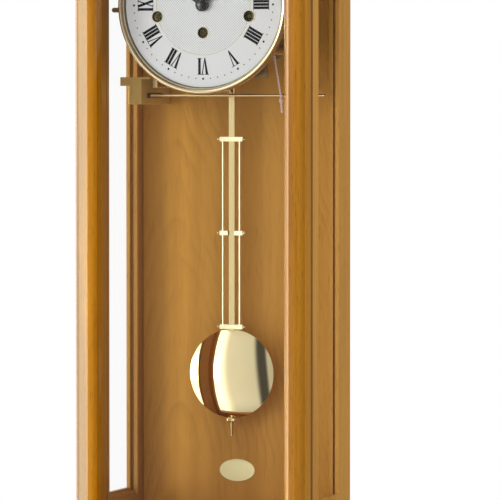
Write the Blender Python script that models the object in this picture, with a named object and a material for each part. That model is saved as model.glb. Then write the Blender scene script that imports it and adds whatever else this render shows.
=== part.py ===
"""Regulator wall clock: a glazed wooden case round a spring-driven chiming movement.

Metres, +Z up. X runs to the right, Y runs into the wall, and the wall is the plane Y = 0.
The origin is the point where the axis of the dial meets the wall.
A depth called "out" is a distance from the wall into the room, so its Y is -out.
"""

import math

import bmesh
import bpy
from mathutils import Matrix, Vector

# Clearances
SEAT_GAP = 0.0003
RUN_GAP = 0.0002
GLASS_PLAY = 0.0005

# Case
BODY_WIDTH = 0.261
BODY_DEPTH = 0.166
BODY_TOP = 0.150
BODY_BOTTOM = -0.606
BACK_THICKNESS = 0.010
BOARD_THICKNESS = 0.012
SIDE_THICKNESS = 0.008
SIDE_FRONT_STILE = 0.047
SIDE_REAR_STILE = 0.043
SIDE_RAIL = 0.046
SIDE_GLASS = 0.003
SIDE_REBATE = 0.006
WOOD_EDGE = 0.0008

# Cornice and base
MOULDING_WALL = 0.010
CORNICE_LID = 0.014
CORNICE_COVE = 0.014
CORNICE_FILLET = 0.005
CORNICE_BAND = 0.012
CORNICE_ROUND = 0.006
FILLET_REACH = 0.004
COVE_REACH = 0.006
BAND_STEP = 0.002
COVE_STEPS = 5
BASE_LID = 0.014
BASE_COVE = 0.013
BASE_BAND = 0.014

# Door
DOOR_GAP = 0.0018
DOOR_END_GAP = 0.0012
DOOR_OVERHANG = 0.007
DOOR_THICKNESS = 0.026
STILE_WIDTH = 0.0262
STILE_SIDE = 0.018
STILE_BEVEL_WIDTH = 0.0068
STILE_BEVEL_DEPTH = 0.010
DOOR_GLASS = 0.003
DOOR_REBATE = 0.006
MITRE_GAP = 0.0002

# Hinges and catch
HINGE_HEIGHT = 0.050
HINGE_LEAF = 0.0012
HINGE_REACH = 0.018
HINGE_BARREL = 0.0030
HINGE_KNOB = 0.0024
HINGE_PIN = 0.0013
HINGE_FROM_END = 0.070
HINGE_OUT_OF_SIDE = 0.0037
CATCH_WIDTH = 0.020
CATCH_DEPTH = 0.014
CATCH_HEIGHT = 0.013
CATCH_FROM_SIDE = 0.012

# Hanging plate and oval plate
HANGER_WIDTH = 0.060
HANGER_HEIGHT = 0.036
HANGER_THICKNESS = 0.0025
HANGER_Z = 0.105
KEYHOLE_HEAD = 0.0055
KEYHOLE_NECK = 0.0025
OVAL_WIDTH = 0.043
OVAL_HEIGHT = 0.026
OVAL_THICKNESS = 0.0008
OVAL_Z = -0.5391
OVAL_X = -0.0046

# Movement plates
PLATE = 0.002
BACK_PLATE_OUT = 0.056
PLATE_SPACE = 0.054
PLATE_HALF_WIDTH = 0.074
PLATE_TOP = 0.066
PLATE_BOTTOM = -0.062
PLATE_CHAMFER = 0.012
PILLAR_RADIUS = 0.004
PILLAR_WAIST = 0.0028
PILLAR_COLLAR = 0.006
PILLAR_X = 0.064
PILLAR_TOP_Z = 0.052
PILLAR_LOW_Z = -0.052
PIVOT_RADIUS = 0.0009

# Brackets that carry the movement
BRACKET_STEEL = 0.002
BRACKET_X = 0.0185
BRACKET_SEAT = 0.014
BRACKET_WEB = 0.018
BRACKET_FOOT_WIDTH = 0.026
BRACKET_FOOT_HEIGHT = 0.020
BRACKET_PAST_PLATE = 0.004

# Spring barrels and winding arbors
SIDE_ARBOR_X = 0.055
SIDE_ARBOR_Z = -0.013
TIME_ARBOR_Z = -0.0315
BARREL_RADIUS = 0.022
BARREL_LENGTH = 0.035
BARREL_WALL = 0.0013
GREAT_WHEEL_TEETH = 72
GREAT_WHEEL = 0.0025
WHEEL_IN_FROM_PLATE = 0.002
WINDING_ARBOR_RADIUS = 0.003
WINDING_SQUARE = 0.0052
WINDING_END_BEHIND_DIAL = 0.0010
RATCHET_RADIUS = 0.009
RATCHET_TEETH = 16
RATCHET_DEPTH = 0.00144
SAW_UNDERCUT = 0.08
RATCHET = 0.002

# Going train
CENTRE_PINION_TEETH = 12
CENTRE_WHEEL_TEETH = 72
THIRD_PINION_TEETH = 8
THIRD_WHEEL_TEETH = 77
ESCAPE_PINION_TEETH = 8
ESCAPE_WHEEL_TEETH = 30
CENTRE_MODULE = 0.0006
THIRD_MODULE = 0.0005
ESCAPE_ARBOR_Z = 0.038
ESCAPE_RADIUS = 0.013
ESCAPE_TOOTH = 0.0018
TRAIN_WHEEL = 0.002
PINION_LENGTH = 0.005
CENTRE_WHEEL_OUT = 0.104
THIRD_WHEEL_OUT = 0.081
ESCAPE_WHEEL_OUT = 0.071
CENTRE_ARBOR_RADIUS = 0.0025
TRAIN_ARBOR_RADIUS = 0.0013
SPOKES = 5
SPOKE_SHARE = 0.24
RIM_SHARE = 0.79
TOOTH_ADDENDUM = 0.80
TOOTH_DEDENDUM = 1.15
MESH_RELIEF = 0.00006
PINION_TIP = 0.05

# Motion work behind the dial
CANNON_TEETH = 12
MINUTE_WHEEL_TEETH = 36
MINUTE_PINION_TEETH = 10
HOUR_WHEEL_TEETH = 40
MOTION_DISTANCE = 0.018
MINUTE_WHEEL_ANGLE = math.radians(135)
CANNON_FROM_PLATE = 0.004
MOTION_WHEEL = 0.002
HOUR_PIPE_RADIUS = 0.004

# Dial, bezel and hands
DIAL_OUT = 0.141
DIAL_THICKNESS = 0.0015
DIAL_RADIUS = 0.0985
DIAL_POST_RADIUS = 0.0025
DIAL_POST_X = 0.060
DIAL_POST_Z = 0.040
WINDING_HOLE_RADIUS = 0.0062
BEZEL_RADIUS = 0.1015
BEZEL_INNER_RADIUS = 0.0945
BEZEL_HEIGHT = 0.0085
BEZEL_CROWN = 0.004
BEZEL_LIP = 0.002
HAND_THICKNESS = 0.0008
HOUR_HAND_WIDTH = 0.0085
MINUTE_HAND_WIDTH = 0.0065
HAND_NECK = 0.32
HAND_SHOULDER = 0.42
HAND_WIDEST = 0.66
HOUR_HAND_LENGTH = 0.052
MINUTE_HAND_LENGTH = 0.079
HAND_HUB_RADIUS = 0.0074
HAND_ABOVE_DIAL = 0.0015
HAND_SPACE = 0.0022
HAND_NUT_RADIUS = 0.0042
HAND_NUT = 0.0035
HOUR_HAND_ANGLE = math.radians(54.5)
MINUTE_HAND_ANGLE = math.radians(-54.0)
LEVER_PIVOT_X = -0.066
LEVER_Z = -0.005
LEVER_TIP_X = -0.1145
LEVER_WIDTH = 0.0055
LEVER_THICKNESS = 0.0018
LEVER_BEHIND_DIAL = 0.010

# Pendulum
PENDULUM_OUT = 0.042
PIVOT_Z = 0.056
SUSPENSION_POST_WIDTH = 0.013
SUSPENSION_POST_HEIGHT = 0.013
SUSPENSION_RISE = 0.004
SPRING_LEAF = 0.0003
SPRING_WIDTH = 0.007
SPRING_SLOT = 0.0030
LEADER_WIDTH = 0.005
LEADER_THICKNESS = 0.0016
LEADER_TOP_BELOW_PIVOT = 0.008
STIRRUP_TOP_Z = -0.084
STIRRUP_PIN_Z = -0.0985
STIRRUP_BAR = 0.0018
STIRRUP_CENTRE = 0.0021
STIRRUP_PIN_RADIUS = 0.0009
ROD_WIDTH = 0.007
ROD_THICKNESS = 0.0024
ROD_TOP_Z = -0.1015
HOOK_THICKNESS = 0.0016
HOOK_DEPTH = 0.0060
CROSS_BAR_WIDTH = 0.028
CROSS_BAR_HEIGHT = 0.0053
CROSS_BAR_THICKNESS = 0.0022
CROSS_BAR_COUNT = 3
CROSS_BAR_PITCH = 0.1085
CROSS_BEAD_RADIUS = 0.0013
SIDE_ROD_X = 0.0102
SIDE_ROD_RADIUS = 0.00135
BOB_RADIUS = 0.051
BOB_THICKNESS = 0.020
BOB_RIM = 0.0022
BOB_Z = -0.4242
BOB_SLOT_PLAY = 0.0004
BOB_HEADROOM = 0.00055
STUD_RADIUS = 0.0015
STUD_TOP_Z = -0.452
STUD_TIP_Z = -0.496
NUT_RADIUS = 0.006
NUT_HEIGHT = 0.0042
CRUTCH_FORK_Z = -0.012
CRUTCH_WIRE = 0.0011
CRUTCH_FROM_PLATE = 0.002
ANCHOR_THICKNESS = 0.0025
ANCHOR_SPAN = 7.5
PALLET_CLEARANCE = 0.0011

# Gong, rods and hammers
BLOCK_LEFT = -0.103
BLOCK_WIDTH = 0.016
BLOCK_OUT = 0.108
BLOCK_TOP = -0.0826
BLOCK_HEIGHT = 0.0302
BLOCK_FLANGE = 0.0022
BLOCK_FLANGE_DEPTH = 0.014
BLOCK_FLANGE_REACH = 0.010
BLOCK_LUG_DROP = 0.009
ROD_COUNT = 4
ROD_PITCH = 0.0119
ROD_BEHIND_BLOCK = 0.0206
ROD_Z = -0.1025
GONG_ROD_RADIUS = 0.0015
LONGEST_ROD = 0.203
ROD_STEP = 0.009
COLLAR_RADIUS = 0.0032
COLLAR_LENGTH = 0.006
HAMMER_SHAFT_X = -0.040
HAMMER_SHAFT_Z = -0.072
HAMMER_SHAFT_RADIUS = 0.002
HAMMER_HUB_RADIUS = 0.004
HAMMER_ARM = 0.0026
HAMMER_HEAD_X = -0.077
HAMMER_HEAD_Z = -0.088
HAMMER_HEAD_WIDTH = 0.0076
HAMMER_HEAD_HEIGHT = 0.012
HAMMER_HEAD_DEPTH = 0.006
PLATE_LUG = 0.006

# Pull cord: its route from the pillar down past the rods, as (x, z) at one depth
CORD_RADIUS = 0.0010
CORD_OUT = 0.0938
CORD_ROUTE = (
    (0.0681, -0.0535),
    (0.0712, -0.0700),
    (0.0745, -0.0890),
    (0.0772, -0.1060),
    (0.0782, -0.1225),
)
CORD_POINTS = 15

# Sizes that follow from the ones above
HALF_BODY = BODY_WIDTH / 2
DOOR_WIDTH = BODY_WIDTH + 2 * DOOR_OVERHANG
INNER_HALF = HALF_BODY - SIDE_THICKNESS
DOOR_BACK_OUT = BODY_DEPTH + DOOR_GAP
DOOR_FRONT_OUT = DOOR_BACK_OUT + DOOR_THICKNESS
DOOR_TOP = BODY_TOP - DOOR_END_GAP
DOOR_BOTTOM = BODY_BOTTOM + DOOR_END_GAP
HINGE_X = -HALF_BODY - HINGE_OUT_OF_SIDE
HINGE_OUT = DOOR_BACK_OUT - SEAT_GAP - HINGE_BARREL
BACK_PLATE_FRONT = BACK_PLATE_OUT + PLATE
FRONT_PLATE_OUT = BACK_PLATE_FRONT + PLATE_SPACE
FRONT_PLATE_FRONT = FRONT_PLATE_OUT + PLATE
DIAL_BACK = DIAL_OUT - DIAL_THICKNESS
GREAT_WHEEL_OUT = BACK_PLATE_FRONT + WHEEL_IN_FROM_PLATE
GREAT_MODULE = 2 * abs(TIME_ARBOR_Z) / (GREAT_WHEEL_TEETH + CENTRE_PINION_TEETH)
CENTRE_DISTANCE = CENTRE_MODULE * (CENTRE_WHEEL_TEETH + THIRD_PINION_TEETH) / 2
THIRD_DISTANCE = THIRD_MODULE * (THIRD_WHEEL_TEETH + ESCAPE_PINION_TEETH) / 2
CANNON_MODULE = 2 * MOTION_DISTANCE / (CANNON_TEETH + MINUTE_WHEEL_TEETH)
HOUR_MODULE = 2 * MOTION_DISTANCE / (MINUTE_PINION_TEETH + HOUR_WHEEL_TEETH)
CANNON_OUT = FRONT_PLATE_FRONT + CANNON_FROM_PLATE
HOUR_HAND_OUT = DIAL_OUT + HAND_ABOVE_DIAL
MINUTE_HAND_OUT = HOUR_HAND_OUT + HAND_THICKNESS + HAND_SPACE
FRONT_ROD_OUT = BLOCK_OUT - ROD_BEHIND_BLOCK
HAMMER_OUTS = tuple(FRONT_ROD_OUT - ROD_PITCH * i for i in range(ROD_COUNT))
ARBORS = {
    "time": (0.0, TIME_ARBOR_Z),
    "strike": (-SIDE_ARBOR_X, SIDE_ARBOR_Z),
    "chime": (SIDE_ARBOR_X, SIDE_ARBOR_Z),
}


# Finishes
def finish(name, colour, roughness, metallic):
    """Returns a material with one plain finish."""
    material = bpy.data.materials.new(name)
    material.use_nodes = True
    shader = material.node_tree.nodes["Principled BSDF"]
    shader.inputs["Base Color"].default_value = (*colour, 1.0)
    shader.inputs["Roughness"].default_value = roughness
    shader.inputs["Metallic"].default_value = metallic
    return material


FINISHES = {
    "wood": ((0.48, 0.22, 0.05), 0.35, 0.0),
    "panel": ((0.42, 0.22, 0.08), 0.45, 0.0),
    "glass": ((0.85, 0.90, 0.90), 0.05, 0.0),
    "brass": ((0.80, 0.62, 0.30), 0.18, 1.0),
    "gilt": ((0.46, 0.34, 0.13), 0.45, 0.6),
    "steel": ((0.55, 0.55, 0.56), 0.35, 1.0),
    "silver": ((0.80, 0.80, 0.82), 0.35, 0.3),
    "black": ((0.02, 0.02, 0.02), 0.40, 0.0),
    "cord": ((0.75, 0.60, 0.55), 0.80, 0.0),
}
SMOOTH_ANGLE = math.radians(35)


# Shapes
def spot(x, out, z):
    """The point at x, a distance out from the wall, and height z."""
    return Vector((x, -out, z))


def add(name, bm, kind, pivot=None):
    """Makes the object of a bmesh, with its origin on the pivot of the body that it moves with."""
    bmesh.ops.remove_doubles(bm, verts=bm.verts, dist=1e-6)
    bmesh.ops.recalc_face_normals(bm, faces=bm.faces)
    origin = pivot or Vector()
    bmesh.ops.translate(bm, verts=bm.verts, vec=-origin)
    mesh = bpy.data.meshes.new(name)
    bm.to_mesh(mesh)
    bm.free()
    mesh.shade_smooth()
    mesh.set_sharp_from_angle(angle=SMOOTH_ANGLE)
    mesh.materials.append(finish(name, *FINISHES[kind]))
    piece = bpy.data.objects.new(name, mesh)
    piece.location = origin
    bpy.context.scene.collection.objects.link(piece)
    return piece


def box(x_range, out_range, z_range):
    """A box between two x, two depths and two heights."""
    bm = bmesh.new()
    size = [high - low for low, high in (x_range, out_range, z_range)]
    centre = spot(*[(low + high) / 2 for low, high in (x_range, out_range, z_range)])
    matrix = Matrix.Translation(centre) @ Matrix.Diagonal((*size, 1.0))
    bmesh.ops.create_cube(bm, size=1.0, matrix=matrix)
    return bm


def ease(bm, width=WOOD_EDGE):
    """Chamfers every edge of a bmesh."""
    bmesh.ops.bevel(
        bm, geom=bm.edges, offset=width, affect="EDGES", segments=1, profile=0.5, material=-1
    )
    return bm


def prism(points, place, start, end):
    """A flat outline drawn out from start to end; place(a, b, c) turns its points into places."""
    bm = bmesh.new()
    face = bm.faces.new([bm.verts.new(place(a, b, start)) for a, b in points])
    grown = bmesh.ops.extrude_face_region(bm, geom=[face])
    moved = [v for v in grown["geom"] if isinstance(v, bmesh.types.BMVert)]
    bmesh.ops.translate(bm, verts=moved, vec=place(0, 0, end) - place(0, 0, start))
    bmesh.ops.recalc_face_normals(bm, faces=bm.faces)
    return bm


def facing(points, start, end):
    """An outline in x and z, drawn out between two depths."""
    return prism(points, lambda a, b, c: spot(a, c, b), start, end)


def crosswise(points, start, end):
    """An outline in depth and z, drawn out between two x."""
    return prism(points, lambda a, b, c: spot(c, a, b), start, end)


def upright(points, start, end):
    """An outline in x and depth, drawn out between two heights."""
    return prism(points, lambda a, b, c: spot(a, b, c), start, end)


def turned(profile, origin, axis, segments):
    """Turns a profile of (radius, distance along the axis) round the axis through the origin.

    A profile that starts off the axis is a closed section, and its turned shape is a ring.
    """
    bm = bmesh.new()
    verts = [bm.verts.new((radius, 0.0, along)) for radius, along in profile]
    for first, second in zip(verts, verts[1:]):
        bm.edges.new((first, second))
    if profile[0][0] > 0:
        bm.edges.new((verts[-1], verts[0]))
    bmesh.ops.spin(
        bm,
        geom=bm.verts[:] + bm.edges[:],
        cent=(0, 0, 0),
        axis=(0, 0, 1),
        angle=math.tau,
        steps=segments,
        use_merge=True,
    )
    bmesh.ops.remove_doubles(bm, verts=bm.verts, dist=1e-6)
    bmesh.ops.recalc_face_normals(bm, faces=bm.faces)
    turn = Vector((0, 0, 1)).rotation_difference(axis).to_matrix().to_4x4()
    bmesh.ops.transform(bm, matrix=Matrix.Translation(origin) @ turn, verts=bm.verts)
    return bm


FORWARD = Vector((0, -1, 0))
RIGHT = Vector((1, 0, 0))
UP = Vector((0, 0, 1))


def cylinder(origin, axis, radius, start, end, segments=16):
    """A plain round bar along an axis."""
    return turned([(0, start), (radius, start), (radius, end), (0, end)], origin, axis, segments)


def forward_bar(x, z, radius, start, end, segments=16):
    """A round bar that points out of the wall, between two depths."""
    return cylinder(spot(x, 0, z), FORWARD, radius, start, end, segments)


def scratch(bm):
    """A helper object that holds a bmesh for a boolean."""
    mesh = bpy.data.meshes.new("scratch")
    bm.to_mesh(mesh)
    bm.free()
    helper = bpy.data.objects.new("scratch", mesh)
    bpy.context.scene.collection.objects.link(helper)
    return helper


def combine(base, tools, operation):
    """Joins other solids to a base, or cuts them from it, one after another."""
    body = scratch(base)
    for bm in tools:
        tool = scratch(bm)
        modifier = body.modifiers.new("combine", "BOOLEAN")
        modifier.operation = operation
        modifier.object = tool
        view = body.evaluated_get(bpy.context.evaluated_depsgraph_get())
        mesh = bpy.data.meshes.new_from_object(view)
        body.modifiers.clear()
        body.data = mesh
        bpy.data.objects.remove(tool)
    result = bmesh.new()
    result.from_mesh(body.data)
    bpy.data.objects.remove(body)
    bmesh.ops.remove_doubles(result, verts=result.verts, dist=1e-6)
    bmesh.ops.dissolve_limit(
        result, angle_limit=1e-4, verts=result.verts, edges=result.edges, delimit=set()
    )
    return result


def join(base, *tools):
    """The union of solids."""
    return combine(base, tools, "UNION")


def cut(base, *tools):
    """A solid with others taken away."""
    return combine(base, tools, "DIFFERENCE")


def arc(centre, radii, start, end, steps):
    """Points of an ellipse's arc between two angles, both ends included."""
    points = []
    for i in range(steps + 1):
        angle = start + (end - start) * i / steps
        points.append((centre[0] + radii[0] * math.cos(angle), centre[1] + radii[1] * math.sin(angle)))
    return points


# Case
def moulded_cap(profile, top_down, hollow, wall):
    """A hollow cap round three sides of the case; profile gives (reach beyond the door, rise)."""
    bm = bmesh.new()
    rings = []
    for reach, rise in profile:
        half = DOOR_WIDTH / 2 + reach
        front = DOOR_FRONT_OUT + reach
        z = BODY_TOP + rise if top_down else BODY_BOTTOM - rise
        corners = [(-half, 0.0), (half, 0.0), (half, front), (-half, front)]
        rings.append([bm.verts.new(spot(x, out, z)) for x, out in corners])
    for low, high in zip(rings, rings[1:]):
        for i, j in ((1, 2), (2, 3), (3, 0)):
            bm.faces.new((low[i], low[j], high[j], high[i]))
    bm.faces.new(rings[0])
    bm.faces.new(rings[-1])
    bm.faces.new([ring[0] for ring in rings] + [ring[1] for ring in reversed(rings)])
    bmesh.ops.recalc_face_normals(bm, faces=bm.faces)
    near, far = profile[0][1] - wall, hollow
    z_range = (BODY_TOP + near, BODY_TOP + far) if top_down else (BODY_BOTTOM - far, BODY_BOTTOM - near)
    return cut(bm, box((-INNER_HALF, INNER_HALF), (-wall, BODY_DEPTH - wall), z_range))


def cove_steps(cove):
    """The foot of a moulding, as (reach, rise): a fillet and a cove above it."""
    start = SEAT_GAP + CORNICE_FILLET
    hollow = arc((COVE_REACH + cove, start), (cove, cove), math.pi, math.pi / 2, COVE_STEPS)
    return [(FILLET_REACH, SEAT_GAP), (FILLET_REACH, start)] + hollow


def cornice():
    """The stepped top: a fillet, a cove and a rounded band."""
    steps = cove_steps(CORNICE_COVE)
    reach = steps[-1][0] + BAND_STEP
    band = steps[-1][1]
    shoulder = band + CORNICE_BAND - CORNICE_ROUND
    steps += [(reach, band), (reach, shoulder)]
    steps += arc((reach - CORNICE_ROUND, shoulder), (CORNICE_ROUND, CORNICE_ROUND), 0, math.pi / 2, 4)[1:]
    hollow = steps[-1][1] - CORNICE_LID
    add("cornice", moulded_cap(steps, True, hollow, MOULDING_WALL), "wood")


def base_moulding():
    """The stepped foot: a fillet, a cove and a plain band."""
    steps = cove_steps(BASE_COVE)
    reach = steps[-1][0] + BAND_STEP
    band = steps[-1][1]
    steps += [(reach, band), (reach, band + BASE_BAND - CORNICE_FILLET)]
    steps += [(reach - CORNICE_FILLET, band + BASE_BAND)]
    hollow = steps[-1][1] - BASE_LID
    add("base_moulding", moulded_cap(steps, False, hollow, MOULDING_WALL), "wood")


def boards():
    """The backboard with a pocket for the hanging plate, and the boards that close the case."""
    inside = INNER_HALF - SEAT_GAP
    pocket_half = (HANGER_WIDTH / 2 + SEAT_GAP, HANGER_HEIGHT / 2 + SEAT_GAP)
    keyhole_room = KEYHOLE_HEAD * 2
    back = cut(
        ease(box((-inside, inside), (0, BACK_THICKNESS), (BODY_BOTTOM, BODY_TOP))),
        box(
            (-pocket_half[0], pocket_half[0]),
            (-MOULDING_WALL, HANGER_THICKNESS + SEAT_GAP),
            (HANGER_Z - pocket_half[1], HANGER_Z + pocket_half[1]),
        ),
        box(
            (-KEYHOLE_HEAD, KEYHOLE_HEAD),
            (0, HANGER_THICKNESS + SEAT_GAP + KEYHOLE_HEAD / 2),
            (HANGER_Z - keyhole_room, HANGER_Z + keyhole_room),
        ),
    )
    add("backboard", back, "panel")
    depth = (BACK_THICKNESS + SEAT_GAP, BODY_DEPTH)
    for name, low in (("floor_board", BODY_BOTTOM), ("top_board", BODY_TOP - BOARD_THICKNESS)):
        board = ease(box((-inside, inside), depth, (low, low + BOARD_THICKNESS)))
        add(name, board, "wood")


def hanging_plate():
    """The keyhole plate let into the back of the case."""
    lower = HANGER_Z - KEYHOLE_HEAD
    head = arc((0, lower), (KEYHOLE_HEAD, KEYHOLE_HEAD), math.radians(-240), math.radians(60), 12)
    neck = arc((0, lower + 2 * KEYHOLE_HEAD), (KEYHOLE_NECK, KEYHOLE_NECK), 0, math.pi, 6)
    plate = box(
        (-HANGER_WIDTH / 2, HANGER_WIDTH / 2),
        (0, HANGER_THICKNESS),
        (HANGER_Z - HANGER_HEIGHT / 2, HANGER_Z + HANGER_HEIGHT / 2),
    )
    keyhole = facing(head + neck, -HANGER_THICKNESS, 2 * HANGER_THICKNESS)
    add("hanger_plate", cut(plate, keyhole), "steel")


def side(name, sign):
    """One side: a frame round a window, rebated inside for its pane."""
    z_range = (BODY_BOTTOM, BODY_TOP)
    window_out = (SIDE_REAR_STILE, BODY_DEPTH - SIDE_FRONT_STILE)
    window_z = (BODY_BOTTOM + SIDE_RAIL, BODY_TOP - SIDE_RAIL)
    pane_out = (window_out[0] - SIDE_REBATE, window_out[1] + SIDE_REBATE)
    pane_z = (window_z[0] - SIDE_REBATE, window_z[1] + SIDE_REBATE)

    def across(near, far):
        """An x range between two distances in from the outer face of this side."""
        return tuple(sorted((sign * (HALF_BODY - near), sign * (HALF_BODY - far))))

    frame = cut(
        ease(box(across(0, SIDE_THICKNESS), (0, BODY_DEPTH), z_range)),
        box(across(-SIDE_GLASS, SIDE_THICKNESS + SIDE_GLASS), window_out, window_z),
        box(across(SIDE_THICKNESS - SIDE_GLASS - SEAT_GAP, SIDE_THICKNESS + SIDE_GLASS), pane_out, pane_z),
    )
    add(f"side_frame_{name}", frame, "wood")
    play = GLASS_PLAY
    pane = box(
        across(SIDE_THICKNESS - SIDE_GLASS, SIDE_THICKNESS),
        (pane_out[0] + play, pane_out[1] - play),
        (pane_z[0] + play, pane_z[1] - play),
    )
    add(f"side_glass_{name}", pane, "glass")


# Door
def door_profile():
    """The section of the door's frame, as (in from its outer edge, forward from its back)."""
    crown = STILE_WIDTH - STILE_BEVEL_WIDTH
    rise = DOOR_THICKNESS - STILE_SIDE
    rebate = DOOR_GLASS + SEAT_GAP + GLASS_PLAY
    quarter = arc((crown, STILE_SIDE), (crown, rise), math.pi, math.pi / 2, 7)
    inner = [
        (STILE_WIDTH, DOOR_THICKNESS - STILE_BEVEL_DEPTH),
        (STILE_WIDTH, rebate),
        (STILE_WIDTH - DOOR_REBATE, rebate),
        (STILE_WIDTH - DOOR_REBATE, 0.0),
    ]
    return [(0.0, 0.0)] + quarter + inner


def mitred(place, length, pivot, name):
    """A length of the door's frame with both ends cut at 45 degrees; place(along, in, forward)."""
    bm = bmesh.new()
    profile = door_profile()
    low = [bm.verts.new(place(u + MITRE_GAP, u, v)) for u, v in profile]
    high = [bm.verts.new(place(length - u - MITRE_GAP, u, v)) for u, v in profile]
    count = len(profile)
    for i in range(count):
        j = (i + 1) % count
        bm.faces.new((low[i], low[j], high[j], high[i]))
    bm.faces.new(low)
    bm.faces.new(high)
    add(name, bm, "wood", pivot)


def door(pivot):
    """Four mitred lengths round a pane of glass."""
    half = DOOR_WIDTH / 2
    height = DOOR_TOP - DOOR_BOTTOM
    back = DOOR_BACK_OUT
    mitred(lambda a, u, v: spot(-half + u, back + v, DOOR_BOTTOM + a), height, pivot, "door_stile_left")
    mitred(lambda a, u, v: spot(half - u, back + v, DOOR_BOTTOM + a), height, pivot, "door_stile_right")
    mitred(lambda a, u, v: spot(-half + a, back + v, DOOR_TOP - u), DOOR_WIDTH, pivot, "door_top_rail")
    mitred(lambda a, u, v: spot(-half + a, back + v, DOOR_BOTTOM + u), DOOR_WIDTH, pivot, "door_bottom_rail")
    inset = STILE_WIDTH - DOOR_REBATE + GLASS_PLAY
    pane = box(
        (-half + inset, half - inset),
        (back + GLASS_PLAY, back + GLASS_PLAY + DOOR_GLASS),
        (DOOR_BOTTOM + inset, DOOR_TOP - inset),
    )
    add("door_glass", pane, "glass", pivot)


def hinges(pivot):
    """Two butt hinges on the left; each pin is fixed in the leaf on the case."""
    half = HINGE_HEIGHT / 2
    room = HINGE_BARREL + SEAT_GAP
    bore = HINGE_PIN + RUN_GAP
    knob = HINGE_KNOB
    side_face = -HALF_BODY - SEAT_GAP
    leaf_out = (DOOR_BACK_OUT - SEAT_GAP - HINGE_LEAF, DOOR_BACK_OUT - SEAT_GAP)
    case_leaf_out = (HINGE_OUT - HINGE_REACH, HINGE_OUT)
    for name, z in (("upper", DOOR_TOP - HINGE_FROM_END), ("lower", DOOR_BOTTOM + HINGE_FROM_END)):
        axis = spot(HINGE_X, HINGE_OUT, z)
        leaf = cut(
            box((side_face - HINGE_LEAF, side_face), case_leaf_out, (z - half, z + half)),
            cylinder(axis, UP, room, -SEAT_GAP / 2, half + room),
        )
        pin = [
            (0, -half - knob),
            (knob, -half - knob / 2),
            (HINGE_BARREL, -half),
            (HINGE_BARREL, -SEAT_GAP / 2),
            (HINGE_PIN, -SEAT_GAP / 2),
            (HINGE_PIN, half + SEAT_GAP),
            (knob, half + SEAT_GAP),
            (knob, half + knob / 2),
            (0, half + knob),
        ]
        add(f"case_hinge_{name}", join(leaf, turned(pin, axis, UP, 16)), "brass", pivot)
        door_leaf = cut(
            join(
                box((HINGE_X, HINGE_X + HINGE_REACH), leaf_out, (z - half, z + half)),
                cylinder(axis, UP, HINGE_BARREL, SEAT_GAP / 2, half),
            ),
            cylinder(axis, UP, room, -half - room, SEAT_GAP / 2),
            cylinder(axis, UP, bore, -half, half + room),
        )
        add(f"door_hinge_{name}", door_leaf, "brass", pivot)


def catch():
    """The magnetic catch under the top board, behind the door's top rail."""
    right = INNER_HALF - CATCH_FROM_SIDE
    top = BODY_TOP - BOARD_THICKNESS - SEAT_GAP
    depth = (BODY_DEPTH - CATCH_DEPTH, BODY_DEPTH)
    block = box((right - CATCH_WIDTH, right), depth, (top - CATCH_HEIGHT, top))
    add("door_catch", ease(block), "black")


def oval_plate():
    """The small bare plate at the foot of the backboard."""
    outline = arc((OVAL_X, OVAL_Z), (OVAL_WIDTH / 2, OVAL_HEIGHT / 2), 0, math.tau, 32)[:-1]
    seat = BACK_THICKNESS + SEAT_GAP
    add("oval_plate", facing(outline, seat, seat + OVAL_THICKNESS), "brass")


# Wheels
def toothed(teeth, module, phase, tip=0.0):
    """The outline of a wheel, as (x, z) round its own centre; the first tooth points along phase."""
    pitch = math.tau / teeth
    outer = module * (teeth / 2 + TOOTH_ADDENDUM) - MESH_RELIEF
    root = module * (teeth / 2 - TOOTH_DEDENDUM) - MESH_RELIEF
    points = []
    for i in range(teeth):
        angle = phase + i * pitch
        ends = [(outer, angle - tip * pitch), (outer, angle + tip * pitch)] if tip else [(outer, angle)]
        for radius, turn in ends + [(root, angle + pitch / 2)]:
            points.append((radius * math.cos(turn), radius * math.sin(turn)))
    return points


def meshing_phase(driver_phase, driver_teeth, teeth, direction):
    """The phase of a wheel whose gap takes the tooth of a driver, seen along the line to the wheel."""
    driver_pitch = math.tau / driver_teeth
    off = (direction - driver_phase) / driver_pitch
    off -= round(off)
    pitch = math.tau / teeth
    return direction + math.pi + pitch / 2 + off * pitch


def moved(points, centre):
    """An outline moved to a centre."""
    return [(x + centre[0], z + centre[1]) for x, z in points]


def ratchet_outline(radius, teeth, depth):
    """Saw teeth, steep on one flank."""
    pitch = math.tau / teeth
    points = []
    for i in range(teeth):
        for reach, turn in ((radius, i * pitch), (radius - depth, (i + SAW_UNDERCUT) * pitch)):
            points.append((reach * math.cos(turn), reach * math.sin(turn)))
    return points


def spokes(centre, hub, rim, count, start, end):
    """Cutters for the openings between the spokes of a wheel."""
    tools = []
    for i in range(count):
        first = math.tau * (i + SPOKE_SHARE / 2) / count
        last = math.tau * (i + 1 - SPOKE_SHARE / 2) / count
        opening = arc(centre, (rim, rim), first, last, 5) + arc(centre, (hub, hub), last, first, 3)
        tools.append(facing(opening, start, end))
    return tools


def crossed_wheel(outline, centre, hub, rim, out_range):
    """A flat wheel with spokes."""
    disc = facing(moved(outline, centre), *out_range)
    cutters = spokes(centre, hub, rim, SPOKES, out_range[0] - PLATE, out_range[1] + PLATE)
    return cut(disc, *cutters)


def arbor_profile(radius, start, end, pivot_in):
    """A shaft with a thinner pivot at each end."""
    return [
        (0, start),
        (PIVOT_RADIUS, start),
        (PIVOT_RADIUS, start + pivot_in),
        (radius, start + pivot_in),
        (radius, end - pivot_in),
        (PIVOT_RADIUS, end - pivot_in),
        (PIVOT_RADIUS, end),
        (0, end),
    ]


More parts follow.
